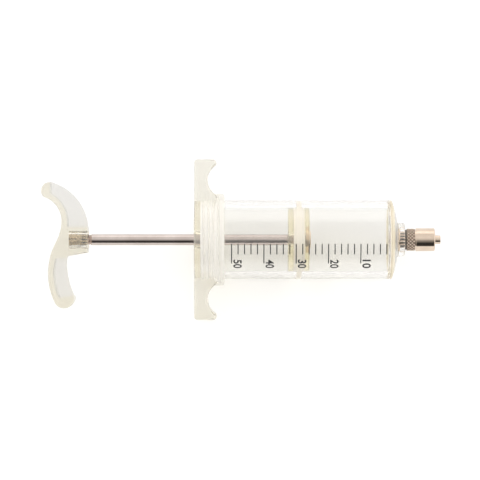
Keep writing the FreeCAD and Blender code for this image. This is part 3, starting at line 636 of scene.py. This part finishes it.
def make_barrel():
    rim = REAR + CHAMBER + DOME_RIM
    head = NOSE_FACE - BUSH_HEAD_LENGTH
    tube = lathe([
        (TUBE_START, TUBE),
        (THREAD_END + SUPPORT, TUBE),
        (rim - SUPPORT, TUBE),
        (rim, TUBE),
        (rim + DOME_RISE, NOSE),
        (NOSE_FACE, NOSE),
        (NOSE_FACE, BUSH_HEAD),
        (head, BUSH_HEAD),
        (head, BUSH_SHANK),
        (REAR + CHAMBER, BUSH_SHANK),
        (REAR + CHAMBER, BORE),
        (REAR + CHAMBER - 3 * SUPPORT, BORE),
        (REAR + SUPPORT, BORE),
        (REAR, BORE),
    ], rounds=[
        (DOME_EDGE, [3]),
        (NOSE_EDGE, [5]),
        (CHAMBER_CORNER, [10]),
        (DOME_FOOT, [4]),
        (BUSH_EDGE, [6]),
    ], open_side=True, arcs={3: (DOME_RADIUS, "left")})
    skin = coarse_thread(TUBE, TUBE - GROOVE_DEPTH, 0.0, THREAD_END)
    bm = joined(tube, skin)
    for rims in (rim_at(bm, REAR), rim_at(bm, THREAD_END) + rim_at(bm, TUBE_START)):
        bmesh.ops.bridge_loops(bm, edges=rims)
    return finished(bm, "barrel_tube", "barrel_assembly", BARREL_PLASTIC, ["barrel"])


make_barrel()

# %% [markdown]
# The cap closes the barrel's rear end and carries the two finger wings. It is one moulding, so the wings are
# joined to the turned body as solids, and the threaded hollow is then cut out with a plug of its own shape.

# %% Screw cap
CAP_RADIUS = 19.7 * mm
BEAD_START = CAP_MOUTH - 4.9 * mm
WING_TIP = 10.2 * mm
FINGER_REST = 7.8 * mm
FINGER_REST_HEIGHT = 27.3 * mm
FINGER_REST_WALL = 6.2 * mm
NOSE_ROUND = 1.5 * mm
WING_ROOT = 20.0 * mm
ROD_HOLE = 2.85 * mm
BEAD_ROUND = 1.3 * mm
BACK_ROUND = 0.6 * mm


def make_wings():
    middle = FINGER_REST_WALL + FINGER_REST
    root = middle - math.sqrt(FINGER_REST ** 2 - (FINGER_REST_HEIGHT - WING_ROOT) ** 2)
    inward = WING_TIP - NOSE_ROUND - middle
    upward = math.sqrt((FINGER_REST + NOSE_ROUND) ** 2 - inward ** 2)
    share = FINGER_REST / (FINGER_REST + NOSE_ROUND)
    meeting = (middle + inward * share, FINGER_REST_HEIGHT + upward * share)
    nose = (WING_TIP, FINGER_REST_HEIGHT + upward)
    half = [(root, WING_ROOT), meeting, nose, (WING_TIP, WING_REACH), (0, WING_REACH)]
    corners = half + [(x, -y) for x, y in reversed(half)]
    bm = outline(corners, {
        0: (FINGER_REST, "left"),
        1: (NOSE_ROUND, "right"),
        7: (NOSE_ROUND, "right"),
        8: (FINGER_REST, "left"),
    }, rounds=[(NOSE_ROUND, [3, 4, 5, 6])])
    bmesh.ops.translate(bm, vec=(CAP_BACK, 0, 0), verts=bm.verts)
    thicken(bm, -WING_HALF, WING_HALF)
    return soften_rims(bm, WING_EDGE)


def make_screw_cap():
    body = lathe([
        (CAP_BACK, 0),
        (CAP_MOUTH, 0),
        (CAP_MOUTH, BEAD),
        (BEAD_START, BEAD),
        (BEAD_START, CAP_RADIUS),
        (CAP_BACK, CAP_RADIUS),
    ], rounds=[(BEAD_ROUND, [2, 3]), (BACK_ROUND, [5])])
    whole = combined(body, make_wings(), "UNION")
    past = CAP_MOUTH + mm
    plug = coarse_thread(TUBE + FIT, TUBE - GROOVE_DEPTH + FIT, FIT, past)
    for place in (REAR, past):
        bmesh.ops.contextual_create(plug, geom=rim_at(plug, place))
    bmesh.ops.recalc_face_normals(plug, faces=plug.faces)
    hollow = combined(whole, plug, "DIFFERENCE")
    guide = lathe([
        (CAP_BACK - mm, 0),
        (REAR + mm, 0),
        (REAR + mm, ROD_HOLE),
        (CAP_BACK - mm, ROD_HOLE),
    ], steps=64)
    cap = combined(hollow, guide, "DIFFERENCE")
    return finished(cap, "cap_with_wings", "barrel_assembly", CAP_PLASTIC, ["screw_cap"])


make_screw_cap()

# %% [markdown]
# Knurls press a turned surface in by a pattern of angle and place. They are a little coarser than the real
# ones, which would blur to grey in a small picture.

# %% Knurls
TEETH = 18
TOOTH_DEPTH = 0.35 * mm


def wave(turns):
    """A pointed wave from 0 to 1 and back, once for each whole turn."""
    return 1 - abs(2 * (turns % 1) - 1)


def knurled(bm, outer, depth, start, end, pattern):
    """Presses a pattern into the outside of a turned piece between two places."""
    for vert in bm.verts:
        radius = math.hypot(vert.co.y, vert.co.z)
        if radius > outer - TINY and start - TINY <= vert.co.x <= end + TINY:
            turn = math.atan2(vert.co.z, vert.co.y) / FULL_TURN
            share = 1 - depth * pattern(turn, vert.co.x) / radius
            vert.co.y *= share
            vert.co.z *= share
    return bm


def straight_teeth(turn, place):
    return wave(turn * TEETH)


def rows(start, end, count, radius):
    """Places from start to end with the same radius, for an outline that a knurl will press in."""
    return [(start + (end - start) * number / count, radius) for number in range(count + 1)]


print(f"{TEETH} teeth on each bush")

# %% [markdown]
# A knurled metal bush is moulded into the nose. It touches the plastic all round, so it is drawn a hair
# larger than its hole and no air shows between them. A dark washer lies in front of it.

# %% Nose bush and washer
STUD = 2.8 * mm
HEAD_BEVEL = 0.3 * mm
WASHER = 4.6 * mm


def make_nose_bush():
    start, end = span("nose_insert")
    head = end - BUSH_HEAD_LENGTH
    outer = BUSH_HEAD + CONTACT
    bm = lathe([
        (start, STUD),
        (end, STUD),
        (end, outer - HEAD_BEVEL),
        (end - HEAD_BEVEL, outer),
        (head, outer),
        (head, BUSH_SHANK + CONTACT),
        (start, BUSH_SHANK + CONTACT),
    ], steps=TEETH * 6)
    knurled(bm, outer, TOOTH_DEPTH, head, end, straight_teeth)
    return finished(bm, "nose_bush", "barrel_assembly", NOSE_BRASS, ["nose_insert"], sharp=25)


def make_washer():
    start, end = span("nozzle_washer")
    bm = lathe([(start, STUD), (end, STUD), (end, WASHER), (start, WASHER)],
               rounds=[(0.15 * mm, [2, 3])], steps=96)
    return finished(bm, "sealing_washer", "barrel_assembly", RUBBER, ["nozzle_washer"])


make_nose_bush()
make_washer()

# %% [markdown]
# The turned fitting has a diamond-knurled ring, a smooth collar and the cone. A ridge with two starts winds
# round the inside of the collar and takes the lugs of a hub that is screwed in.

# %% Luer fitting
COLLAR = 5.32 * mm
COLLAR_END = FITTING_SEAT + 13.0 * mm
SOCKET = 4.1 * mm
SOCKET_DEPTH = 7.6 * mm
CONE_TIP = 1.98 * mm
CONE_SLOPE = 0.03
PASSAGE = 1.4 * mm
DIAMONDS = 20
DIAMOND_DEPTH = 0.36 * mm
KNURL_EDGE = 0.2 * mm
NECK_LENGTH = 0.4 * mm
NECK = RING - 0.35 * mm
LOCK_LEAD = 5.0 * mm
LOCK_BACK = 1.4 * mm
RIDGE_HEIGHT = 0.5 * mm
RIDGE_FOOT = 0.05 * mm
RIDGE_WIDTH = 1.0 * mm
RIDGE_FLANK = 0.35 * mm


def diamonds(turn, place):
    along = (place - FITTING_SEAT) / (FULL_TURN * RING) * DIAMONDS
    return 1 - min(wave(turn * DIAMONDS + along), wave(turn * DIAMONDS - along))


def make_fitting():
    start, end = span("luer_fitting")
    ring_end = FITTING_SEAT + RING_LENGTH
    neck_end = ring_end + NECK_LENGTH
    socket_end = COLLAR_END - SOCKET_DEPTH
    cone_root = CONE_TIP + CONE_SLOPE * (end - socket_end)
    corners = [
        (start, PASSAGE),
        (end, PASSAGE),
        (end, CONE_TIP),
        (socket_end, cone_root),
        (socket_end, SOCKET),
        (COLLAR_END, SOCKET),
        (COLLAR_END, COLLAR),
        (neck_end, COLLAR),
        (neck_end, NECK),
        (ring_end, NECK),
        (ring_end, RING - KNURL_EDGE),
        *rows(ring_end - KNURL_EDGE, FITTING_SEAT + KNURL_EDGE, 20, RING),
        (FITTING_SEAT, RING - KNURL_EDGE),
        (FITTING_SEAT, STUD),
        (start, STUD),
    ]
    bm = lathe(corners, rounds=[(0.5 * mm, [6]), (0.15 * mm, [2, 5, 7])], steps=DIAMONDS * 6, segments=3)
    knurled(bm, RING, DIAMOND_DEPTH, FITTING_SEAT + KNURL_EDGE, ring_end - KNURL_EDGE, diamonds)
    crest = SOCKET - RIDGE_HEIGHT
    foot = SOCKET + RIDGE_FOOT
    ridge = wound([
        (0, foot),
        (RIDGE_FLANK, crest),
        (RIDGE_WIDTH - RIDGE_FLANK, crest),
        (RIDGE_WIDTH, foot),
    ], LOCK_LEAD, 1, 96)
    bmesh.ops.translate(ridge, vec=(COLLAR_END - LOCK_LEAD - LOCK_BACK, 0, 0), verts=ridge.verts)
    bmesh.ops.holes_fill(ridge, edges=ridge.edges[:])
    second = ridge.copy()
    bmesh.ops.rotate(second, cent=CENTRE, matrix=Matrix.Rotation(math.pi, 3, "X"), verts=second.verts)
    bm = joined(joined(bm, ridge), second)
    return finished(bm, "luer_lock_nozzle", "barrel_assembly", NICKEL, ["luer_fitting"],
                    sharp=28)


make_fitting()

# %% [markdown]
# The piston is a silicone ring squeezed between two clear discs on the rod's end, with a metal nut in the
# front one. Only the crest of the ring touches the bore; it is drawn a hair over the bore's radius, as the
# real one presses on it, and so the band shows right out to the tube's outline.

# %% Piston
DISC = 14.7 * mm
DISC_EDGE = 0.3 * mm
CLAMPING_EDGE = 0.1 * mm
SPIGOT = 8.5 * mm
ROD_THREAD = 2.0 * mm
ROD_PASS = ROD_THREAD + 0.04 * mm
RING_DROP = 0.35 * mm
RING_GAP = 0.1 * mm
SQUEEZE = 0.03 * mm
CREST_LENGTH = 2.1 * mm
NUT = 3.95 * mm
NUT_CONTACT = 0.02 * mm


def make_rear_disc():
    start, end = span("piston_rear")
    bm = lathe([(start, ROD_PASS), (end, ROD_PASS), (end, DISC), (start, DISC)],
               rounds=[(DISC_EDGE, [3]), (CLAMPING_EDGE, [2])])
    return finished(bm, "piston_rear_disc", "piston", DISC_PLASTIC, ["piston_rear"])


def make_ring():
    start, end = span("piston_ring")
    crest = BORE + SQUEEZE
    middle = (start + end) / 2
    bm = lathe([
        (start, SPIGOT + RING_GAP),
        (end, SPIGOT + RING_GAP),
        (end, crest - RING_DROP),
        (middle + CREST_LENGTH / 2, crest),
        (middle - CREST_LENGTH / 2, crest),
        (start, crest - RING_DROP),
    ], rounds=[(0.2 * mm, [2, 5]), (0.25 * mm, [3, 4])])
    return finished(bm, "piston_seal_ring", "piston", SILICONE, ["piston_ring"], sharp=40)


def make_front_disc():
    start, end = span("piston_front")
    seat = span("piston_nut")[0]
    disc_start = span("piston_ring")[1]
    bm = lathe([
        (start, ROD_PASS),
        (seat, ROD_PASS),
        (seat, NUT),
        (end, NUT),
        (end, DISC),
        (disc_start, DISC),
        (disc_start, SPIGOT),
        (start, SPIGOT),
    ], rounds=[(DISC_EDGE, [4]), (CLAMPING_EDGE, [5]), (DISC_EDGE, [7])])
    return finished(bm, "piston_front_disc", "piston", DISC_PLASTIC, ["piston_front"])


def make_nut():
    start, end = span("piston_nut")
    outer = NUT + NUT_CONTACT
    bm = lathe([(start, ROD_PASS), (end, ROD_PASS), (end, outer), (start, outer)],
               rounds=[(0.3 * mm, [2])], steps=96)
    return finished(bm, "piston_nut_bush", "piston", NICKEL, ["piston_nut"])


make_rear_disc()
make_ring()
make_front_disc()
make_nut()

# %% [markdown]
# The rod is plain steel with a fine thread at each end. A threaded end is a closed plug with the thread's
# skin, set into the end of the plain stretch.

# %% Plunger rod
ROD = 2.55 * mm
REAR_THREAD = 2.45 * mm
REAR_THREAD_END = 1.4 * mm
FINE_PITCH = 0.7 * mm
FINE_DEPTH = 0.36 * mm
SET_IN = 0.5 * mm
SHOULDER_GAP = 0.05 * mm


def thread_plug(radius, start, end):
    """A closed plug from start to end with a fine pointed thread."""
    turns = math.ceil((end - start) / FINE_PITCH) + 3
    low = start - 2 * FINE_PITCH
    skin = wound([
        (low, radius),
        (low + 0.1 * FINE_PITCH, radius),
        (low + 0.5 * FINE_PITCH, radius - FINE_DEPTH),
        (low + 0.6 * FINE_PITCH, radius - FINE_DEPTH),
        (low + FINE_PITCH, radius),
    ], FINE_PITCH, turns, 48)
    cut_square(skin, start, 1)
    cut_square(skin, end, -1)
    for place in (start, end):
        bmesh.ops.contextual_create(skin, geom=rim_at(skin, place))
    return skin


def make_rod():
    start, end = span("plunger_rod")
    grip_face = span("handle_insert")[1]
    shoulder = span("piston_rear")[0] - SHOULDER_GAP
    core = lathe([
        (grip_face + REAR_THREAD_END, 0),
        (shoulder, 0),
        (shoulder, ROD),
        (grip_face + REAR_THREAD_END, ROD),
    ], rounds=[(0.2 * mm, [2, 3])], steps=96)
    rear = thread_plug(REAR_THREAD, start, grip_face + REAR_THREAD_END + SET_IN)
    front = thread_plug(ROD_THREAD + CONTACT, shoulder - SET_IN, end)
    bm = joined(joined(core, rear), front)
    return finished(bm, "steel_rod", "plunger", STEEL, ["plunger_rod"], sharp=25)


make_rod()

# %% [markdown]
# The palm grip is an S in one moulding. Its arms are T-sections: a full-width flange along the palm side and
# a thin web in front of it, with solid round tips and a thick boss for the rod's bush. The outline is a chain
# of arcs; it becomes a block with rounded edges, and the hollows beside the web are cut out of both sides.

# %% Palm grip
GRIP_HALF = 7.25 * mm
GRIP_EDGE = 0.9 * mm
WEB_HALF = 1.8 * mm
FLANGE = 2.6 * mm
WAIST = 12.1 * mm
WAIST_HEIGHT = 8.5 * mm
BULGE = 18.3 * mm
BULGE_DROP = 15.5 * mm
LOWER_PALM = 30.0 * mm
UPPER_PALM = 11.6 * mm
UPPER_BACK = 23.4 * mm
UPPER_BACK_HEIGHT = 4.0 * mm
UPPER_TIP_BACK = 16.2 * mm
UPPER_TIP_PALM = 20.2 * mm
LOWER_FRONT = 33.0 * mm
LOWER_ARM = 9.9 * mm
LOWER_ARM_DROP = 11.0 * mm
TIP_PALM_DROP = 28.7 * mm
TIP_FRONT_DROP = 26.2 * mm
UPPER_TIP = 4.0 * mm
LOWER_TIP = 4.75 * mm
BOSS_TOP = 5.9 * mm
ROOT_DROP = 7.6 * mm
ROOT_ROUND = 1.2 * mm
HOLLOW_DEPTH = 17.3 * mm
HOLLOW_PAST = 3.0 * mm
HOLLOW_ROUND = 0.5 * mm
LOWER_HOLLOW_TOP = 8.6 * mm
LOWER_HOLLOW_END = 26.6 * mm
LOWER_HOLLOW_FRONT = 25.2 * mm
BUSH_HOLE = 4.05 * mm
BUSH_HOLE_DEPTH = 8.8 * mm
BUSH_GROOVE = 1.2 * mm
BUSH_GROOVE_DEPTH = 0.5 * mm
GRIP_FACE = span("handle_insert")[1]


def on_arc(middle, radius, height):
    """X of the left side of a circle at a height over its middle."""
    return middle - math.sqrt(radius ** 2 - height ** 2)


def make_grip():
    palm_radii = ((BULGE - WAIST) ** 2 + (WAIST_HEIGHT + BULGE_DROP) ** 2) / (2 * (BULGE - WAIST))
    waist_radius = palm_radii - LOWER_PALM
    share = waist_radius / palm_radii
    waist_middle = -(WAIST + waist_radius)
    palm_middle = LOWER_PALM - BULGE
    turning = (waist_middle + share * (palm_middle - waist_middle),
               WAIST_HEIGHT - share * (WAIST_HEIGHT + BULGE_DROP))
    upper_middle = -(WAIST + UPPER_PALM)
    front_middle = LOWER_FRONT - LOWER_ARM
    back_tip = UPPER_BACK_HEIGHT + math.sqrt(UPPER_BACK ** 2 - (UPPER_BACK - UPPER_TIP_BACK) ** 2)
    palm_tip = WAIST_HEIGHT + math.sqrt(UPPER_PALM ** 2 - (UPPER_TIP_PALM + upper_middle) ** 2)
    corners = [
        (0, -BOSS_TOP),
        (0, UPPER_BACK_HEIGHT),
        (-UPPER_TIP_BACK, back_tip),
        (-UPPER_TIP_PALM, palm_tip),
        (-WAIST, WAIST_HEIGHT),
        turning,
        (on_arc(palm_middle, LOWER_PALM, TIP_PALM_DROP - BULGE_DROP), -TIP_PALM_DROP),
        (on_arc(front_middle, LOWER_FRONT, TIP_FRONT_DROP - LOWER_ARM_DROP), -TIP_FRONT_DROP),
        (on_arc(front_middle, LOWER_FRONT, ROOT_DROP - LOWER_ARM_DROP), -ROOT_DROP),
    ]
    block = outline(corners, {
        1: (UPPER_BACK, "right"),
        2: (UPPER_TIP, "right"),
        3: (UPPER_PALM, "left"),
        4: (waist_radius, "left"),
        5: (LOWER_PALM, "right"),
        6: (LOWER_TIP, "right"),
        7: (LOWER_FRONT, "left"),
    }, rounds=[(ROOT_ROUND, [8])])
    thicken(block, -GRIP_HALF, GRIP_HALF)
    soften_rims(block, GRIP_EDGE)
    inner_upper = UPPER_PALM + FLANGE
    inner_lower = LOWER_PALM - FLANGE
    web_front = -(WAIST - FLANGE)
    upper = ([
        (HOLLOW_PAST, BOSS_TOP),
        (HOLLOW_PAST, back_tip + HOLLOW_PAST),
        (-HOLLOW_DEPTH, back_tip + HOLLOW_PAST),
        (-HOLLOW_DEPTH, WAIST_HEIGHT + math.sqrt(inner_upper ** 2 - (HOLLOW_DEPTH + upper_middle) ** 2)),
        (web_front, WAIST_HEIGHT),
        (web_front, BOSS_TOP),
    ], {3: (inner_upper, "left")}, [2, 3, 5])
    lower = ([
        (-HOLLOW_PAST, -LOWER_HOLLOW_TOP),
        (on_arc(palm_middle, inner_lower, LOWER_HOLLOW_TOP - BULGE_DROP), -LOWER_HOLLOW_TOP),
        (on_arc(palm_middle, inner_lower, LOWER_HOLLOW_END - BULGE_DROP), -LOWER_HOLLOW_END),
        (-HOLLOW_PAST, -LOWER_HOLLOW_FRONT),
    ], {1: (inner_lower, "right")}, [1, 2])
    for shape, arcs, inner in (upper, lower):
        for low, high in ((WEB_HALF, 2 * GRIP_HALF), (-2 * GRIP_HALF, -WEB_HALF)):
            cutter = thicken(outline(shape, arcs, rounds=[(HOLLOW_ROUND, inner)], segments=4), low, high)
            block = combined(block, cutter, "DIFFERENCE")
    hole = lathe([
        (-BUSH_HOLE_DEPTH, 0),
        (HOLLOW_PAST, 0),
        (HOLLOW_PAST, BUSH_HOLE),
        (-BUSH_HOLE_DEPTH, BUSH_HOLE),
    ], steps=96)
    block = combined(block, hole, "DIFFERENCE")
    bmesh.ops.translate(block, vec=(GRIP_FACE, 0, 0), verts=block.verts)
    return finished(block, "palm_grip", "plunger", GRIP_PLASTIC, ["handle"], edge=0.2 * mm)


def make_grip_bush():
    start, end = span("handle_insert")
    outer = GRIP_BUSH + CONTACT
    groove = outer - BUSH_GROOVE_DEPTH
    middle = (start + end) / 2
    bm = lathe([
        (start, REAR_THREAD),
        (end, REAR_THREAD),
        (end, outer),
        (middle + BUSH_GROOVE / 2, outer),
        (middle + BUSH_GROOVE / 2, groove),
        (middle - BUSH_GROOVE / 2, groove),
        (middle - BUSH_GROOVE / 2, outer),
        (start, outer),
    ], steps=TEETH * 6)
    knurled(bm, outer, TOOTH_DEPTH, start, end, straight_teeth)
    return finished(bm, "grip_bush", "plunger", GRIP_BRASS, ["handle_insert"], sharp=25)


make_grip()
make_grip_bush()

# %% [markdown]
# The printed scale has a line for every 2 ml, and a longer one for every 10 ml. The lines are thin skins that
# follow the tube.

# %% Printed scale
SCALE_ZERO = -22.6 * mm
EACH_ML = -1.47 * mm
SCALE_STEP = 2
NUMBER_STEP = 10
SCALE_FULL = 50
LINE_WIDTH = 0.46 * mm
LINE_START = -1.9 * mm
LONG_LINE_END = -10.8 * mm
SHORT_LINE_END = -6.65 * mm
INK_BASE = TUBE - 0.01 * mm
INK_TOP = TUBE + 0.015 * mm


def angle_at(side):
    """The angle round the tube, from its top, at a distance to the side of the axis."""
    return math.asin(side / TUBE)


def on_tube(place, angle, radius):
    return Vector((place, radius * math.sin(angle), radius * math.cos(angle)))


def make_scale_lines():
    bm = bmesh.new()
    start = angle_at(LINE_START)
    for volume in range(SCALE_STEP, SCALE_FULL + 1, SCALE_STEP):
        end = angle_at(SHORT_LINE_END if volume % NUMBER_STEP else LONG_LINE_END)
        low = SCALE_ZERO + EACH_ML * volume - LINE_WIDTH / 2
        section = [on_tube(x, start, r) for x, r in (
            (low, INK_BASE), (low + LINE_WIDTH, INK_BASE), (low + LINE_WIDTH, INK_TOP), (low, INK_TOP))]
        face = bm.faces.new([bm.verts.new(corner) for corner in section])
        steps = round((start - end) / math.radians(2))
        bmesh.ops.spin(bm, geom=[face, *face.edges, *face.verts], axis=AXIS, cent=CENTRE, angle=start - end,
                       steps=steps)
    return finished(bm, "scale_lines", "barrel_assembly", INK)


make_scale_lines()

# %% [markdown]
# A longer line has a number. It starts as a flat text, is cut into narrow strips so that it can bend, and is
# then laid round the tube, its top towards the nozzle.

# %% Numbers
NUMBER_HEIGHT = 3.9 * mm
NUMBER_WIDTH = 4.9 * mm
NUMBER_GAP = 0.75 * mm
NUMBER_START = -9.1 * mm
BOLD = 0.02
STRIP = 0.35 * mm


def number_mesh(volume):
    """The number as a flat mesh, from 0 to its width and height."""
    text = bpy.data.curves.new("number", "FONT")
    text.body = str(volume)
    text.resolution_u = 6
    text.offset = BOLD
    thing = bpy.data.objects.new("number", text)
    bpy.context.scene.collection.objects.link(thing)
    mesh = bpy.data.meshes.new_from_object(thing.evaluated_get(bpy.context.evaluated_depsgraph_get()))
    bpy.data.objects.remove(thing)
    bpy.data.curves.remove(text)
    bm = bmesh.new()
    bm.from_mesh(mesh)
    bpy.data.meshes.remove(mesh)
    low = [min(v.co[k] for v in bm.verts) for k in (0, 1)]
    high = [max(v.co[k] for v in bm.verts) for k in (0, 1)]
    bmesh.ops.translate(bm, vec=(-low[0], -low[1], 0), verts=bm.verts)
    bmesh.ops.scale(bm, vec=(NUMBER_WIDTH / (high[0] - low[0]), NUMBER_HEIGHT / (high[1] - low[1]), 1),
                    verts=bm.verts)
    return bm


def make_scale_numbers():
    whole = bmesh.new()
    first = angle_at(NUMBER_START)
    for volume in range(NUMBER_STEP, SCALE_FULL + 1, NUMBER_STEP):
        bm = number_mesh(volume)
        bmesh.ops.remove_doubles(bm, verts=bm.verts, dist=TINY)
        for number in range(1, math.ceil(NUMBER_WIDTH / STRIP)):
            bmesh.ops.bisect_plane(bm, geom=bm.verts[:] + bm.edges[:] + bm.faces[:], dist=TINY / 10,
                                   plane_co=(number * STRIP, 0, 0), plane_no=(1, 0, 0))
        thicken(bm, INK_BASE, INK_TOP)
        line = SCALE_ZERO + EACH_ML * volume + NUMBER_GAP
        for vert in bm.verts:
            vert.co = on_tube(line + vert.co.y, first - vert.co.x / TUBE, vert.co.z)
        whole = joined(whole, bm)
    return finished(whole, "scale_numbers", "barrel_assembly", INK)


make_scale_numbers()

# %% [markdown]
# The table is a wide pale floor. Its colour is near white. The camera sees it with a small lift, so that it
# reaches white where nothing shades it and keeps the syringe's soft shadow. Clear pieces show it with half of
# that lift.

# %% Floor
FLOOR_RADIUS = 4.0
FLOOR_LIFT = 0.1
LIFT_THROUGH = 0.05


def make_floor():
    bm = bmesh.new()
    bmesh.ops.create_circle(bm, cap_ends=True, segments=96, radius=FLOOR_RADIUS)
    bmesh.ops.translate(bm, vec=(0, 0, CAD_LOW.z), verts=bm.verts)
    floor = as_object(bm, "table")
    finish = Finish(bpy.data.materials.new("pale_table"))
    rays = finish.add("ShaderNodeLightPath")
    seen = Number(finish, rays.outputs["Is Camera Ray"])
    seen_through = Number(finish, rays.outputs["Is Transmission Ray"])
    surface = finish.add("ShaderNodeBsdfPrincipled", {}, {
        "Base Color": (0.95, 0.95, 0.95, 1),
        "Roughness": 0.9,
        "Specular IOR Level": 0.0,
        "Emission Color": (1, 1, 1, 1),
        "Emission Strength": seen * FLOOR_LIFT + seen_through * LIFT_THROUGH,
    })
    floor.data.materials.append(finish.output(surface.outputs["BSDF"]))
    return floor


make_floor()

# %% [markdown]
# A studio that is bright all round would leave a pale object on a pale floor without form. As in a
# photographer's studio, one side stays dark: it gives the metal its dark lines and the clear edges their
# grey. The sky is a list of levels by the angle from the zenith, in degrees towards +Y, and both ends of the
# syringe face plain white. A large soft lamp on the bright side adds the highlights.

# %% World and lamp
SKY = [
    (-180, 0.9),
    (-118, 0.55),
    (-108, 0.45),
    (-97, 0.25),
    (-87, 0.13),
    (-79, 0.04),
    (-58, 0.02),
    (-50, 0.10),
    (-41, 0.22),
    (-30, 0.38),
    (-18, 0.74),
    (-4, 0.93),
    (38, 0.93),
    (49, 1.0),
    (62, 1.2),
    (76, 1.2),
    (92, 1.0),
    (180, 0.9),
]
ENDS = (1.25, 1.25, 1.25, 1)
ENDS_START = 0.1
ENDS_FULL = 0.35
LAMP_SIZE = (0.9, 0.5)
LAMP_ENERGY = 0.5
LAMP_PLACE = (-0.25, 0.8, 0.6)
LAMP_AIM = (-0.09, 0, 0)


def make_world():
    world = bpy.data.worlds.new("studio")
    bpy.context.scene.world = world
    finish = Finish(world)
    way = finish.add("ShaderNodeTexCoord").outputs["Generated"]
    parts = finish.add("ShaderNodeSeparateXYZ", {}, {0: way})
    sideways, up = (Number(finish, parts.outputs[name]) for name in ("Y", "Z"))
    angle = sideways.sum_with("ARCTAN2", sideways, up)
    stops = [(angle / 360 + 0.5, (level, level * 0.99, level * 0.98)) for angle, level in SKY]
    around = finish.add("ShaderNodeValToRGB", {"stops": stops}, {"Fac": angle * (1 / FULL_TURN) + 0.5})
    endways = finish.add("ShaderNodeMath", {"operation": "ABSOLUTE"}, {0: parts.outputs["X"]})
    to_ends = finish.add("ShaderNodeMapRange", {"interpolation_type": "SMOOTHSTEP"}, {
        "Value": endways.outputs[0], "From Min": ENDS_START, "From Max": ENDS_FULL})
    colour = finish.blend(to_ends.outputs["Result"], around.outputs["Color"], ENDS)
    light = finish.add("ShaderNodeBackground", {}, {"Color": colour, "Strength": 1.0})
    finish.add("ShaderNodeOutputWorld", {}, {"Surface": light.outputs["Background"]})


def make_lamp():
    data = bpy.data.lights.new("soft_lamp", "AREA")
    data.shape = "RECTANGLE"
    data.size, data.size_y = LAMP_SIZE
    data.energy = LAMP_ENERGY
    lamp = bpy.data.objects.new("soft_lamp", data)
    lamp.location = LAMP_PLACE
    aim = Vector(LAMP_AIM) - lamp.location
    lamp.rotation_euler = aim.to_track_quat("-Z", "Y").to_euler()
    bpy.context.scene.collection.objects.link(lamp)


make_world()
make_lamp()
print("studio is lit")

# %% [markdown]
# The photograph looks straight down onto the plane of the finger wings, which is tipped by the syringe's
# roll, with the nozzle on the right. The circles at the syringe's ends bulge only a little, which puts the
# camera about 1.3 m away.

# %% Camera
PIXELS = 480
PIXEL = 0.4607 * mm
DISTANCE_PIXELS = 2800
NOZZLE_END_PIXEL = 440.3
AXIS_OFF_PIXELS = 0.3


def make_camera():
    data = bpy.data.cameras.new("camera")
    data.sensor_width = 36.0
    data.lens = data.sensor_width * DISTANCE_PIXELS / PIXELS
    data.clip_start = 0.01
    data.clip_end = 20
    camera = bpy.data.objects.new("camera", data)
    right, up, back = (Matrix.Rotation(ROLL, 3, "X") @ Vector(v) for v in ((1, 0, 0), (0, 1, 0), (0, 0, 1)))
    aim = right * (PIXELS / 2 - NOZZLE_END_PIXEL) * PIXEL - up * AXIS_OFF_PIXELS * PIXEL
    camera.location = aim + back * DISTANCE_PIXELS * PIXEL
    camera.rotation_euler = Matrix((right, up, back)).transposed().to_euler()
    bpy.context.scene.collection.objects.link(camera)
    bpy.context.scene.camera = camera
    print(f"camera at {[round(c, 3) for c in camera.location]}, lens {data.lens:.1f} mm")


make_camera()
bpy.context.scene.view_settings.view_transform = "Standard"
